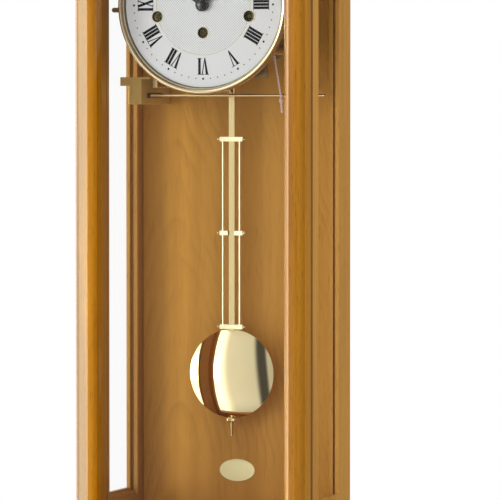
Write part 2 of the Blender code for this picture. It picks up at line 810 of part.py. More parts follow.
def third_arbor():
    """Where the third wheel stands: it meshes with the centre wheel and with the escape pinion."""
    z = (CENTRE_DISTANCE**2 - THIRD_DISTANCE**2 + ESCAPE_ARBOR_Z**2) / (2 * ESCAPE_ARBOR_Z)
    return math.sqrt(CENTRE_DISTANCE**2 - z**2), z


def minute_arbor():
    """Where the minute wheel stands beside the centre arbor."""
    return (
        MOTION_DISTANCE * math.cos(MINUTE_WHEEL_ANGLE),
        MOTION_DISTANCE * math.sin(MINUTE_WHEEL_ANGLE),
    )


# Movement frame
def plate_holes():
    """Every pivot in the plates, as (x, z, radius)."""
    holes = [(x, z, WINDING_ARBOR_RADIUS + RUN_GAP) for x, z in ARBORS.values()]
    holes.append((*third_arbor(), PIVOT_RADIUS + RUN_GAP))
    holes.append((0.0, ESCAPE_ARBOR_Z, PIVOT_RADIUS + RUN_GAP))
    return holes


def plate_outline():
    """A plate with cut corners and a lug at its lower left for the hammers' shaft."""
    half, top, low, corner = PLATE_HALF_WIDTH, PLATE_TOP, PLATE_BOTTOM, PLATE_CHAMFER
    lug = arc((HAMMER_SHAFT_X, HAMMER_SHAFT_Z), (PLATE_LUG, PLATE_LUG), math.pi, math.tau, 6)
    return (
        [(half - corner, top), (-half + corner, top), (-half, top - corner), (-half, low + corner)]
        + [(-half + corner, low), (HAMMER_SHAFT_X - PLATE_LUG, low)]
        + lug
        + [(HAMMER_SHAFT_X + PLATE_LUG, low), (half - corner, low)]
        + [(half, low + corner), (half, top - corner)]
    )


def pillar_spots():
    """The five pillars between the plates."""
    return [
        (-PILLAR_X + PLATE_CHAMFER / 2, PILLAR_TOP_Z),
        (PILLAR_X - PLATE_CHAMFER / 2, PILLAR_TOP_Z),
        (-PILLAR_X, PILLAR_LOW_Z + PLATE_CHAMFER / 2),
        (PILLAR_X, PILLAR_LOW_Z),
        (SIDE_ARBOR_X / 2, PILLAR_LOW_Z),
    ]


def movement_frame():
    """Two plates, with the pillars between them riveted to the back one."""
    shaft_hole = (HAMMER_SHAFT_X, HAMMER_SHAFT_Z, HAMMER_SHAFT_RADIUS + RUN_GAP)
    lever_hole = (LEVER_PIVOT_X, LEVER_Z, PIVOT_RADIUS + RUN_GAP)
    minute_hole = (*minute_arbor(), PIVOT_RADIUS + RUN_GAP)
    front_holes = plate_holes() + [
        shaft_hole,
        lever_hole,
        minute_hole,
        (0.0, 0.0, CENTRE_ARBOR_RADIUS + RUN_GAP),
        (0.0, PIVOT_Z, PIVOT_RADIUS + RUN_GAP),
    ]
    back_holes = plate_holes() + [
        shaft_hole,
        (0.0, 0.0, PIVOT_RADIUS + RUN_GAP),
        (0.0, PIVOT_Z, TRAIN_ARBOR_RADIUS + RUN_GAP),
    ]
    start, end = BACK_PLATE_FRONT, FRONT_PLATE_OUT - SEAT_GAP
    shape = [
        (0, start - PLATE / 2),
        (PILLAR_RADIUS, start - PLATE / 2),
        (PILLAR_RADIUS, start + PILLAR_COLLAR),
        (PILLAR_WAIST, start + 2 * PILLAR_COLLAR),
        (PILLAR_WAIST, end - 2 * PILLAR_COLLAR),
        (PILLAR_RADIUS, end - PILLAR_COLLAR),
        (PILLAR_RADIUS, end),
        (0, end),
    ]
    pillars = [turned(shape, spot(x, 0, z), FORWARD, 12) for x, z in pillar_spots()]
    for name, face, holes, posts in (
        ("front_plate", FRONT_PLATE_OUT, front_holes, []),
        ("back_plate", BACK_PLATE_OUT, back_holes, pillars),
    ):
        plate = facing(plate_outline(), face, face + PLATE)
        drills = [forward_bar(x, z, r, face - PLATE, face + 2 * PLATE, 12) for x, z, r in holes]
        add(name, join(cut(plate, *drills), *posts), "brass")


def movement_brackets():
    """Two bent steel arms from the backboard, with the plates seated on them."""
    wall = BACK_THICKNESS + SEAT_GAP
    top = PLATE_BOTTOM - SEAT_GAP
    front = FRONT_PLATE_FRONT + BRACKET_PAST_PLATE
    for name, sign in (("left", -1), ("right", 1)):

        def across(near, far, way=sign):
            """An x range on this arm's side of the clock."""
            return tuple(sorted((way * near, way * far)))

        foot_middle = BRACKET_X + BRACKET_STEEL / 2
        foot = across(foot_middle - BRACKET_FOOT_WIDTH / 2, foot_middle + BRACKET_FOOT_WIDTH / 2)
        arm = join(
            box(across(BRACKET_X, BRACKET_X + BRACKET_SEAT), (wall, front), (top - BRACKET_STEEL, top)),
            box(across(BRACKET_X, BRACKET_X + BRACKET_STEEL), (wall, front), (top - BRACKET_WEB, top)),
            box(foot, (wall, wall + BRACKET_STEEL), (top - BRACKET_FOOT_HEIGHT, top)),
        )
        add(f"movement_bracket_{name}", arm, "steel")


# Barrels and winding
def barrels():
    """Three spring barrels, each with its great wheel and a winding arbor with a ratchet."""
    start = GREAT_WHEEL_OUT
    drum_end = start + GREAT_WHEEL + BARREL_LENGTH
    arbor_end = DIAL_BACK - WINDING_END_BEHIND_DIAL
    ratchet_out = FRONT_PLATE_FRONT + SEAT_GAP
    square = WINDING_SQUARE / 2
    for name, (x, z) in ARBORS.items():
        pivot = spot(x, start, z)
        teeth = moved(toothed(GREAT_WHEEL_TEETH, GREAT_MODULE, math.pi / 2), (x, z))
        wheel = facing(teeth, start, start + GREAT_WHEEL)
        lip = BARREL_RADIUS - BARREL_WALL
        drum = turned(
            [
                (0, start + GREAT_WHEEL / 2),
                (BARREL_RADIUS, start + GREAT_WHEEL / 2),
                (BARREL_RADIUS, drum_end),
                (lip, drum_end),
                (lip, drum_end - PLATE),
                (0, drum_end - PLATE),
            ],
            spot(x, 0, z),
            FORWARD,
            32,
        )
        bore = forward_bar(x, z, WINDING_ARBOR_RADIUS + RUN_GAP, start - PLATE, drum_end + PLATE, 16)
        add(f"{name}_barrel", cut(join(wheel, drum), bore), "brass", pivot)
        shaft = forward_bar(x, z, WINDING_ARBOR_RADIUS, BACK_PLATE_OUT, ratchet_out + RATCHET, 16)
        ratchet = facing(
            moved(ratchet_outline(RATCHET_RADIUS, RATCHET_TEETH, RATCHET_DEPTH), (x, z)),
            ratchet_out,
            ratchet_out + RATCHET,
        )
        key_end = box((x - square, x + square), (ratchet_out, arbor_end), (z - square, z + square))
        add(f"{name}_winding_arbor", join(shaft, ratchet, key_end), "steel", pivot)


# Going train
def going_train():
    """Centre, third and escape wheels, each on an arbor with its pinion."""
    start, end = BACK_PLATE_OUT, FRONT_PLATE_FRONT
    third = third_arbor()
    great_phase = math.pi / 2
    pinion_phase = meshing_phase(great_phase, GREAT_WHEEL_TEETH, CENTRE_PINION_TEETH, math.pi / 2)
    centre_phase = 0.0
    toward_third = math.atan2(third[1], third[0])
    third_pinion_phase = meshing_phase(centre_phase, CENTRE_WHEEL_TEETH, THIRD_PINION_TEETH, toward_third)
    third_phase = 0.0
    toward_escape = math.atan2(ESCAPE_ARBOR_Z - third[1], -third[0])
    escape_pinion_phase = meshing_phase(third_phase, THIRD_WHEEL_TEETH, ESCAPE_PINION_TEETH, toward_escape)

    centre_half = TRAIN_WHEEL / 2
    rim = CENTRE_MODULE * CENTRE_WHEEL_TEETH / 2 * RIM_SHARE
    hub = CENTRE_ARBOR_RADIUS * 2
    centre_wheel = crossed_wheel(
        toothed(CENTRE_WHEEL_TEETH, CENTRE_MODULE, centre_phase),
        (0, 0),
        hub,
        rim,
        (CENTRE_WHEEL_OUT - centre_half, CENTRE_WHEEL_OUT + centre_half),
    )
    nut_seat = MINUTE_HAND_OUT + HAND_THICKNESS + HAND_NUT
    shaft = turned(
        [
            (0, start),
            (PIVOT_RADIUS, start),
            (PIVOT_RADIUS, start + PLATE + SEAT_GAP),
            (CENTRE_ARBOR_RADIUS, start + PLATE + SEAT_GAP),
            (CENTRE_ARBOR_RADIUS, nut_seat),
            (0, nut_seat),
        ],
        Vector(),
        FORWARD,
        16,
    )
    centre_pinion = facing(
        toothed(CENTRE_PINION_TEETH, GREAT_MODULE, pinion_phase, PINION_TIP),
        GREAT_WHEEL_OUT - WHEEL_IN_FROM_PLATE / 2,
        GREAT_WHEEL_OUT - WHEEL_IN_FROM_PLATE / 2 + PINION_LENGTH,
    )
    cannon = facing(
        toothed(CANNON_TEETH, CANNON_MODULE, MINUTE_WHEEL_ANGLE, PINION_TIP),
        CANNON_OUT,
        CANNON_OUT + PINION_LENGTH,
    )
    centre = join(shaft, centre_wheel, centre_pinion, cannon)
    add("centre_wheel", centre, "brass", spot(0, CENTRE_WHEEL_OUT, 0))

    for name, centre, wheel_out, pinion_out, pinion, wheel in (
        (
            "third_wheel",
            third,
            THIRD_WHEEL_OUT,
            CENTRE_WHEEL_OUT,
            toothed(THIRD_PINION_TEETH, CENTRE_MODULE, third_pinion_phase, PINION_TIP),
            toothed(THIRD_WHEEL_TEETH, THIRD_MODULE, third_phase),
        ),
        (
            "escape_wheel",
            (0.0, ESCAPE_ARBOR_Z),
            ESCAPE_WHEEL_OUT,
            THIRD_WHEEL_OUT,
            toothed(ESCAPE_PINION_TEETH, THIRD_MODULE, escape_pinion_phase, PINION_TIP),
            ratchet_outline(ESCAPE_RADIUS, ESCAPE_WHEEL_TEETH, ESCAPE_TOOTH),
        ),
    ):
        size = max(math.hypot(x, z) for x, z in wheel)
        out_range = (wheel_out - TRAIN_WHEEL / 2, wheel_out + TRAIN_WHEEL / 2)
        disc = crossed_wheel(wheel, centre, TRAIN_ARBOR_RADIUS * 2, size * RIM_SHARE, out_range)
        profile = arbor_profile(TRAIN_ARBOR_RADIUS, start, end, PLATE + SEAT_GAP)
        shaft = turned(profile, spot(centre[0], 0, centre[1]), FORWARD, 12)
        leaves = facing(moved(pinion, centre), pinion_out - PINION_LENGTH / 2, pinion_out + PINION_LENGTH / 2)
        add(name, join(shaft, disc, leaves), "brass", spot(centre[0], wheel_out, centre[1]))


def motion_work():
    """The minute wheel with its pinion, and the hour wheel on its pipe round the centre arbor."""
    minute = minute_arbor()
    middle = CANNON_OUT + PINION_LENGTH / 2
    minute_range = (middle - MOTION_WHEEL / 2, middle + MOTION_WHEEL / 2)
    hour_out = CANNON_OUT + PINION_LENGTH + RUN_GAP * 4
    minute_phase = meshing_phase(MINUTE_WHEEL_ANGLE, CANNON_TEETH, MINUTE_WHEEL_TEETH, MINUTE_WHEEL_ANGLE)
    disc = facing(moved(toothed(MINUTE_WHEEL_TEETH, CANNON_MODULE, minute_phase), minute), *minute_range)
    pinion_phase = MINUTE_WHEEL_ANGLE
    pinion_end = hour_out + MOTION_WHEEL + RUN_GAP * 4
    pinion = facing(
        moved(toothed(MINUTE_PINION_TEETH, HOUR_MODULE, pinion_phase, PINION_TIP), minute),
        minute_range[1] - MOTION_WHEEL / 2,
        pinion_end,
    )
    stud = turned(
        [
            (0, FRONT_PLATE_OUT),
            (PIVOT_RADIUS, FRONT_PLATE_OUT),
            (PIVOT_RADIUS, FRONT_PLATE_FRONT + SEAT_GAP),
            (TRAIN_ARBOR_RADIUS, FRONT_PLATE_FRONT + SEAT_GAP),
            (TRAIN_ARBOR_RADIUS, pinion_end),
            (0, pinion_end),
        ],
        spot(minute[0], 0, minute[1]),
        FORWARD,
        12,
    )
    add("minute_wheel", join(stud, disc, pinion), "brass", spot(minute[0], middle, minute[1]))

    back_to_centre = MINUTE_WHEEL_ANGLE + math.pi
    hour_phase = meshing_phase(pinion_phase, MINUTE_PINION_TEETH, HOUR_WHEEL_TEETH, back_to_centre)
    wheel = facing(toothed(HOUR_WHEEL_TEETH, HOUR_MODULE, hour_phase), hour_out, hour_out + MOTION_WHEEL)
    pipe = forward_bar(0, 0, HOUR_PIPE_RADIUS, hour_out, HOUR_HAND_OUT + HAND_THICKNESS)
    bore = forward_bar(0, 0, CENTRE_ARBOR_RADIUS + RUN_GAP, hour_out - PLATE, MINUTE_HAND_OUT)
    add("hour_wheel", cut(join(wheel, pipe), bore), "brass", spot(0, hour_out, 0))


# Dial and hands
def dial():
    """The dial with its holes and the feet that carry it, and the bezel round it."""
    foot = (FRONT_PLATE_FRONT + SEAT_GAP, DIAL_OUT - DIAL_THICKNESS / 2)
    disc = forward_bar(0, 0, DIAL_RADIUS, DIAL_BACK, DIAL_OUT, 64)
    holes = [(x, z, WINDING_HOLE_RADIUS) for x, z in ARBORS.values()]
    holes.append((0, 0, HOUR_PIPE_RADIUS + 2 * RUN_GAP))
    drills = [forward_bar(x, z, r, DIAL_BACK - PLATE, DIAL_OUT + PLATE, 24) for x, z, r in holes]
    feet = [
        forward_bar(sx * DIAL_POST_X, sz * DIAL_POST_Z, DIAL_POST_RADIUS, *foot, 10)
        for sx in (-1, 1)
        for sz in (-1, 1)
    ]
    add("dial_plate", join(cut(disc, *drills), *feet), "silver")
    grip = DIAL_RADIUS + SEAT_GAP
    seat = DIAL_OUT + SEAT_GAP
    crest = DIAL_BACK + BEZEL_HEIGHT
    middle = (grip + BEZEL_RADIUS) / 2
    crown = arc((middle, crest - BEZEL_CROWN), (BEZEL_RADIUS - middle, BEZEL_CROWN), 0, math.pi / 2, 3)
    section = (
        [(BEZEL_RADIUS, DIAL_BACK)]
        + crown
        + [(BEZEL_INNER_RADIUS, seat + BEZEL_LIP), (BEZEL_INNER_RADIUS, seat)]
        + [(grip, seat), (grip, DIAL_BACK)]
    )
    add("bezel", turned(section, Vector(), FORWARD, 64), "brass")


def hand(name, length, width, bore, out, angle):
    """A lance-shaped hand with a round boss, pointing at an angle to the left of twelve."""
    neck = width * HAND_NECK
    start = math.asin(neck / HAND_HUB_RADIUS)
    boss = [(-z, x) for x, z in arc((0, 0), (HAND_HUB_RADIUS, HAND_HUB_RADIUS), start, math.tau - start, 20)]
    flank = [(neck, length * HAND_SHOULDER), (width / 2, length * HAND_WIDEST)]
    blade = flank + [(0.0, length)] + [(-x, z) for x, z in reversed(flank)]
    turn = Matrix.Rotation(angle, 2)
    outline = [tuple(turn @ Vector(point)) for point in boss + blade]
    plate = facing(outline, out, out + HAND_THICKNESS)
    hole = forward_bar(0, 0, bore, out - PLATE, out + PLATE)
    add(name, cut(plate, hole), "black", spot(0, out, 0))


def hands():
    """Both hands and the nut that holds them."""
    hour_bore = HOUR_PIPE_RADIUS + SEAT_GAP
    hour_size = (HOUR_HAND_LENGTH, HOUR_HAND_WIDTH)
    hand("hour_hand", *hour_size, hour_bore, HOUR_HAND_OUT, HOUR_HAND_ANGLE)
    minute_bore = CENTRE_ARBOR_RADIUS + SEAT_GAP
    minute_size = (MINUTE_HAND_LENGTH, MINUTE_HAND_WIDTH)
    hand("minute_hand", *minute_size, minute_bore, MINUTE_HAND_OUT, MINUTE_HAND_ANGLE)
    seat = MINUTE_HAND_OUT + HAND_THICKNESS + SEAT_GAP
    end = seat + HAND_NUT
    bore = CENTRE_ARBOR_RADIUS + SEAT_GAP
    nut = turned(
        [
            (bore, seat),
            (HAND_NUT_RADIUS, seat),
            (HAND_NUT_RADIUS, seat + HAND_NUT * 0.4),
            (HAND_NUT_RADIUS * 0.85, end),
            (bore, end),
        ],
        Vector(),
        FORWARD,
        20,
    )
    add("hand_nut", nut, "black", spot(0, seat, 0))


def silent_lever():
    """The lever at nine o'clock that silences the chime."""
    out = DIAL_BACK - LEVER_BEHIND_DIAL
    half = LEVER_WIDTH / 2
    round_end = arc((LEVER_PIVOT_X, LEVER_Z), (half, half), -math.pi / 2, math.pi / 2, 6)
    tip_end = arc((LEVER_TIP_X + half, LEVER_Z), (half, half), math.pi / 2, math.pi * 1.5, 6)
    blade = facing(round_end + tip_end, out, out + LEVER_THICKNESS)
    stud = turned(
        [
            (0, FRONT_PLATE_OUT),
            (PIVOT_RADIUS, FRONT_PLATE_OUT),
            (PIVOT_RADIUS, FRONT_PLATE_FRONT + SEAT_GAP),
            (TRAIN_ARBOR_RADIUS, FRONT_PLATE_FRONT + SEAT_GAP),
            (TRAIN_ARBOR_RADIUS, out + LEVER_THICKNESS / 2),
            (0, out + LEVER_THICKNESS / 2),
        ],
        spot(LEVER_PIVOT_X, 0, LEVER_Z),
        FORWARD,
        12,
    )
    add("silent_lever", join(blade, stud), "brass", spot(LEVER_PIVOT_X, out, LEVER_Z))


# Pendulum
def suspension_post():
    """The cock on the back plate that holds the top of the suspension spring."""
    low = PIVOT_Z + SUSPENSION_RISE
    top = low + SUSPENSION_POST_HEIGHT
    end = PENDULUM_OUT - SPRING_WIDTH
    half = SUSPENSION_POST_WIDTH / 2
    block = box((-half, half), (end, BACK_PLATE_OUT - SEAT_GAP), (low, top))
    slot_reach = SPRING_WIDTH / 2 + SEAT_GAP * 2
    slot = box(
        (-SPRING_SLOT / 2, SPRING_SLOT / 2),
        (PENDULUM_OUT - slot_reach, PENDULUM_OUT + slot_reach),
        (low - PLATE, top - PLATE),
    )
    add("suspension_post", cut(ease(block), slot), "brass")


def pendulum_leader(pivot):
    """The suspension spring, the strip that the crutch drives and the stirrup at its foot."""
    spring_top = PIVOT_Z + SUSPENSION_RISE + SUSPENSION_POST_HEIGHT - PLATE - SEAT_GAP
    strip_top = PIVOT_Z - LEADER_TOP_BELOW_PIVOT
    leaf = SPRING_LEAF / 2
    reach = SPRING_WIDTH / 2
    spring = box((-leaf, leaf), (PENDULUM_OUT - reach, PENDULUM_OUT + reach), (strip_top - PLATE, spring_top))
    half = LEADER_WIDTH / 2
    thick = LEADER_THICKNESS / 2
    across = (PENDULUM_OUT - reach, PENDULUM_OUT + reach)
    chop = box((-half, half), across, (strip_top - LEADER_WIDTH, strip_top))
    strip = box(
        (-half, half),
        (PENDULUM_OUT - thick, PENDULUM_OUT + thick),
        (STIRRUP_TOP_Z, strip_top - LEADER_WIDTH / 2),
    )
    solids = [chop, strip]
    bar = STIRRUP_BAR / 2
    for sign in (-1, 1):
        middle = sign * (STIRRUP_CENTRE + bar / 2)
        solids.append(
            box(
                (middle - bar, middle + bar),
                (PENDULUM_OUT - thick, PENDULUM_OUT + thick),
                (STIRRUP_PIN_Z - STIRRUP_BAR, STIRRUP_TOP_Z + STIRRUP_BAR),
            )
        )
    pin_reach = STIRRUP_CENTRE + bar
    solids.append(
        cylinder(
            spot(0, PENDULUM_OUT, STIRRUP_PIN_Z), RIGHT, STIRRUP_PIN_RADIUS * 0.85, -pin_reach, pin_reach, 10
        )
    )
    add("pendulum_leader", join(spring, *solids), "brass", pivot)


def pendulum_rod(pivot):
    """The flat rod with its hook at the top and the threaded stud at its foot."""
    half = ROD_WIDTH / 2
    thick = ROD_THICKNESS / 2
    flat = box((-half, half), (PENDULUM_OUT - thick, PENDULUM_OUT + thick), (STUD_TOP_Z, ROD_TOP_Z))
    eye = HOOK_DEPTH / 2
    eye_outline = arc((PENDULUM_OUT, STIRRUP_PIN_Z), (eye, eye), -math.pi / 2, math.pi * 1.5, 16)[:-1]
    hook_half = HOOK_THICKNESS / 2
    hook = crosswise(eye_outline, -hook_half, hook_half)
    depth = (PENDULUM_OUT - thick, PENDULUM_OUT + thick)
    neck = box((-hook_half, hook_half), depth, (ROD_TOP_Z - PLATE, STIRRUP_PIN_Z))
    hole = cylinder(
        spot(0, PENDULUM_OUT, STIRRUP_PIN_Z), RIGHT, STIRRUP_PIN_RADIUS + SEAT_GAP, -ROD_WIDTH, ROD_WIDTH, 12
    )
    stud = cylinder(spot(0, PENDULUM_OUT, 0), UP, STUD_RADIUS, STUD_TIP_Z, STUD_TOP_Z + ROD_WIDTH, 12)
    add("pendulum_rod", cut(join(flat, hook, neck, stud), hole), "brass", pivot)


def pendulum_grid(pivot):
    """Three cross bars with beads at their ends and the two thin rods through them."""
    half = CROSS_BAR_WIDTH / 2
    rise = CROSS_BAR_HEIGHT / 2
    front = PENDULUM_OUT + ROD_THICKNESS / 2 + SEAT_GAP
    back = PENDULUM_OUT - ROD_THICKNESS / 2 - SEAT_GAP
    room = ROD_WIDTH / 2 + SEAT_GAP
    lowest = BOB_Z + BOB_RADIUS + BOB_HEADROOM + rise
    heights = [lowest + CROSS_BAR_PITCH * i for i in reversed(range(CROSS_BAR_COUNT))]
    bead_middle = 1.6 * CROSS_BEAD_RADIUS
    bead = [(0.0, -CROSS_BEAD_RADIUS), (CROSS_BEAD_RADIUS * 0.6, -CROSS_BEAD_RADIUS)]
    ball = arc((bead_middle, 0), (CROSS_BEAD_RADIUS, CROSS_BEAD_RADIUS), math.radians(143), 0, 6)
    bead += [(radius, along) for along, radius in ball[:-1]] + [(0.0, ball[-1][0])]
    solids = []
    for i, z in enumerate(heights):
        deep = (front, front + CROSS_BAR_THICKNESS)
        if i == 1:
            deep = (back - CROSS_BAR_THICKNESS, front + CROSS_BAR_THICKNESS)
        bar = box((-half, half), deep, (z - rise, z + rise))
        if i == 1:
            bar = cut(bar, box((-room, room), (back, front + ROD_WIDTH), (z - ROD_WIDTH, z + ROD_WIDTH)))
        solids.append(bar)
        bead_out = front + CROSS_BAR_THICKNESS / 2
        for sign in (-1, 1):
            solids.append(turned(bead, spot(sign * half, bead_out, z), sign * RIGHT, 10))
    for sign in (-1, 1):
        foot = spot(sign * SIDE_ROD_X, front, 0)
        solids.append(cylinder(foot, UP, SIDE_ROD_RADIUS, heights[-1], heights[0], 10))
    add("pendulum_grid", join(solids[0], *solids[1:]), "brass", pivot)


def bob():
    """The lens-shaped bob, slotted for the rod, and the rating nut under it."""
    rise = BOB_THICKNESS / 2 - BOB_RIM / 2
    sphere = (BOB_RADIUS**2 + rise**2) / (2 * rise)
    spread = math.asin(BOB_RADIUS / sphere)
    face = arc((0, 0), (sphere, sphere), math.pi / 2 - spread, math.pi / 2, 8)
    drop = sphere - rise
    front = [(max(r, 0.0), along - drop + BOB_RIM / 2) for r, along in face]
    profile = [(r, -along) for r, along in reversed(front)] + front
    profile = [(BOB_RADIUS if r > BOB_RADIUS - 1e-7 else r, along) for r, along in profile]
    lens = turned(profile, spot(0, PENDULUM_OUT, BOB_Z), FORWARD, 48)
    half = ROD_WIDTH / 2 + BOB_SLOT_PLAY
    thick = max(ROD_THICKNESS / 2, STUD_RADIUS) + BOB_SLOT_PLAY
    slot = box(
        (-half, half),
        (PENDULUM_OUT - thick, PENDULUM_OUT + thick),
        (BOB_Z - 2 * BOB_RADIUS, BOB_Z + 2 * BOB_RADIUS),
    )
    add("bob", cut(lens, slot), "brass", spot(0, PENDULUM_OUT, BOB_Z))
    top = BOB_Z - BOB_RADIUS - SEAT_GAP
    bore = STUD_RADIUS + RUN_GAP
    waist = NUT_RADIUS * 0.9
    nut = turned(
        [
            (bore, top - NUT_HEIGHT),
            (waist, top - NUT_HEIGHT),
            (NUT_RADIUS, top - NUT_HEIGHT * 0.75),
            (NUT_RADIUS, top - NUT_HEIGHT * 0.25),
            (waist, top),
            (bore, top),
        ],
        spot(0, PENDULUM_OUT, 0),
        UP,
        24,
    )
    add("rating_nut", nut, "brass", spot(0, PENDULUM_OUT, top))


def anchor(pivot):
    """The pallets over the escape wheel, their arbor and the crutch that drives the pendulum."""
    wire_out = BACK_PLATE_OUT - CRUTCH_FROM_PLATE - CRUTCH_WIRE
    back_end = wire_out - 1.5 * CRUTCH_WIRE
    shaft = turned(
        [
            (0, back_end),
            (TRAIN_ARBOR_RADIUS, back_end),
            (TRAIN_ARBOR_RADIUS, FRONT_PLATE_OUT - SEAT_GAP),
            (PIVOT_RADIUS, FRONT_PLATE_OUT - SEAT_GAP),
            (PIVOT_RADIUS, FRONT_PLATE_FRONT),
            (0, FRONT_PLATE_FRONT),
        ],
        spot(0, 0, PIVOT_Z),
        FORWARD,
        12,
    )
    spread = math.pi * ANCHOR_SPAN / ESCAPE_WHEEL_TEETH
    near = ESCAPE_RADIUS + PALLET_CLEARANCE
    thick = ANCHOR_THICKNESS
    tip_x = near * math.sin(spread)
    tip_z = ESCAPE_ARBOR_Z + near * math.cos(spread)
    hub = TRAIN_ARBOR_RADIUS * 1.7
    right = [
        (hub, PIVOT_Z),
        (tip_x + thick, tip_z + thick),
        (tip_x + thick * 0.5, tip_z),
        (tip_x - thick * 0.3, tip_z + thick * 0.2),
        (0.0, PIVOT_Z - hub),
    ]
    left = [(-x, z) for x, z in reversed(right[:-1])]
    outline = right + left + [(0.0, PIVOT_Z + hub)]
    pallets = facing(outline, ESCAPE_WHEEL_OUT - TRAIN_WHEEL / 2, ESCAPE_WHEEL_OUT + TRAIN_WHEEL / 2)
    wire = cylinder(spot(0, wire_out, 0), UP, CRUTCH_WIRE, CRUTCH_FORK_Z, PIVOT_Z, 8)
    slot = LEADER_WIDTH / 2 + SEAT_GAP
    outer = slot + 2 * CRUTCH_WIRE
    reach = PENDULUM_OUT - LEADER_WIDTH / 2
    bar = (wire_out - 1.5 * CRUTCH_WIRE, wire_out + 1.5 * CRUTCH_WIRE)
    fork_outline = [(-outer, bar[1]), (outer, bar[1]), (outer, reach), (slot, reach), (slot, bar[0])]
    fork_outline += [(-slot, bar[0]), (-slot, reach), (-outer, reach)]
    fork = upright(fork_outline, CRUTCH_FORK_Z - CRUTCH_WIRE, CRUTCH_FORK_Z + CRUTCH_WIRE)
    add("anchor", join(shaft, pallets, wire, fork), "steel", pivot)


# Gong and hammers
def gong():
    """The cast block on the backboard and the row of rods that it holds."""
    wall = BACK_THICKNESS + SEAT_GAP
    right = BLOCK_LEFT + BLOCK_WIDTH
    low = BLOCK_TOP - BLOCK_HEIGHT
    flange_start = BLOCK_OUT - BLOCK_FLANGE_DEPTH
    block = join(
        ease(box((BLOCK_LEFT, right), (wall, BLOCK_OUT), (low, BLOCK_TOP))),
        box(
            (BLOCK_LEFT - BLOCK_FLANGE_REACH, right + BLOCK_FLANGE_REACH),
            (flange_start, BLOCK_OUT),
            (BLOCK_TOP - BLOCK_FLANGE / 2, BLOCK_TOP + BLOCK_FLANGE / 2),
        ),
        box(
            (BLOCK_LEFT - BLOCK_FLANGE_REACH, BLOCK_LEFT + BLOCK_FLANGE),
            (flange_start, BLOCK_OUT),
            (BLOCK_TOP - BLOCK_LUG_DROP, BLOCK_TOP),
        ),
    )
    add("gong_block", block, "gilt")
    start = right + SEAT_GAP
    for i, out in enumerate(HAMMER_OUTS):
        length = LONGEST_ROD - ROD_STEP * (ROD_COUNT - 1 - i)
        rod = [
            (0, 0),
            (COLLAR_RADIUS, 0),
            (COLLAR_RADIUS, COLLAR_LENGTH / 2),
            (GONG_ROD_RADIUS, COLLAR_LENGTH),
            (GONG_ROD_RADIUS, length),
            (0, length),
        ]
        add(f"gong_rod_{i + 1}", turned(rod, spot(start, out, ROD_Z), RIGHT, 10), "brass")


def hammers():
    """One hammer over each rod, all on one shaft in the lugs of the plates."""
    hub = (HAMMER_SHAFT_X, HAMMER_SHAFT_Z)
    arm = HAMMER_ARM / 2
    head_top = HAMMER_HEAD_Z + HAMMER_HEAD_HEIGHT / 2
    head_inner = HAMMER_HEAD_X + HAMMER_HEAD_WIDTH / 2
    reach = HAMMER_HUB_RADIUS
    for number, out in enumerate(HAMMER_OUTS, start=1):
        ring = forward_bar(*hub, reach, out - arm, out + arm, 12)
        stem = facing(
            [
                (hub[0], hub[1] - reach * 0.6),
                (hub[0], hub[1] + reach * 0.6),
                (HAMMER_HEAD_X, head_top + arm),
                (HAMMER_HEAD_X, head_top - 2 * arm),
                (head_inner, head_top - 2 * arm),
            ],
            out - arm / 2,
            out + arm / 2,
        )
        deep = HAMMER_HEAD_DEPTH / 2
        wide = HAMMER_HEAD_WIDTH / 2
        head = box(
            (HAMMER_HEAD_X - wide, HAMMER_HEAD_X + wide),
            (out - deep, out + deep),
            (head_top - HAMMER_HEAD_HEIGHT, head_top),
        )
        bore = forward_bar(*hub, HAMMER_SHAFT_RADIUS + RUN_GAP, out - 2 * arm, out + 2 * arm, 12)
        whole = cut(join(ease(head, WOOD_EDGE), stem, ring), bore)
        add(f"hammer_{number}", whole, "brass", spot(hub[0], out, hub[1]))
    shaft_end = HAMMER_OUTS[-1] - HAMMER_HUB_RADIUS
    shaft = forward_bar(*hub, HAMMER_SHAFT_RADIUS, shaft_end, FRONT_PLATE_FRONT + PLATE, 12)
    add("hammer_shaft", shaft, "steel")


def pull_cord():
    """The thin cord that hangs from a pillar past the rods."""
    route = [spot(x, CORD_OUT, z) for x, z in CORD_ROUTE]
    ends = [2 * route[0] - route[1]] + route + [2 * route[-1] - route[-2]]
    points = []
    spans = len(route) - 1
    for i in range(CORD_POINTS):
        along = spans * i / (CORD_POINTS - 1)
        span = min(int(along), spans - 1)
        t = along - span
        p0, p1, p2, p3 = ends[span : span + 4]
        bend = (2 * p0 - 5 * p1 + 4 * p2 - p3) * t**2 + (3 * p1 - p0 - 3 * p2 + p3) * t**3
        points.append(0.5 * (2 * p1 + (p2 - p0) * t + bend))
    curve = bpy.data.curves.new("pull_cord", "CURVE")
    curve.dimensions = "3D"
    curve.bevel_depth = CORD_RADIUS
    curve.bevel_resolution = 2
    curve.use_fill_caps = True
    spline = curve.splines.new("POLY")
    spline.points.add(len(points) - 1)
    for target, point in zip(spline.points, points):
        target.co = (*point, 1.0)
    curve.materials.append(finish("pull_cord", *FINISHES["cord"]))
    bpy.context.scene.collection.objects.link(bpy.data.objects.new("pull_cord", curve))


def main():
    """Clears the scene and builds every piece."""
    for old in list(bpy.data.objects):
        bpy.data.objects.remove(old)
    boards()
    hanging_plate()
    side("left", -1)
    side("right", 1)
    cornice()
    base_moulding()
    hinge_line = spot(HINGE_X, HINGE_OUT, 0)
    door(hinge_line)
    hinges(hinge_line)
    catch()
    oval_plate()
    movement_frame()
    movement_brackets()
    barrels()
    going_train()
    motion_work()
    dial()
    hands()
    silent_lever()
    swing = spot(0, PENDULUM_OUT, PIVOT_Z)
    suspension_post()
    pendulum_leader(swing)
    pendulum_rod(swing)
    pendulum_grid(swing)
    bob()
    anchor(swing)
    gong()
    hammers()
    pull_cord()


main()
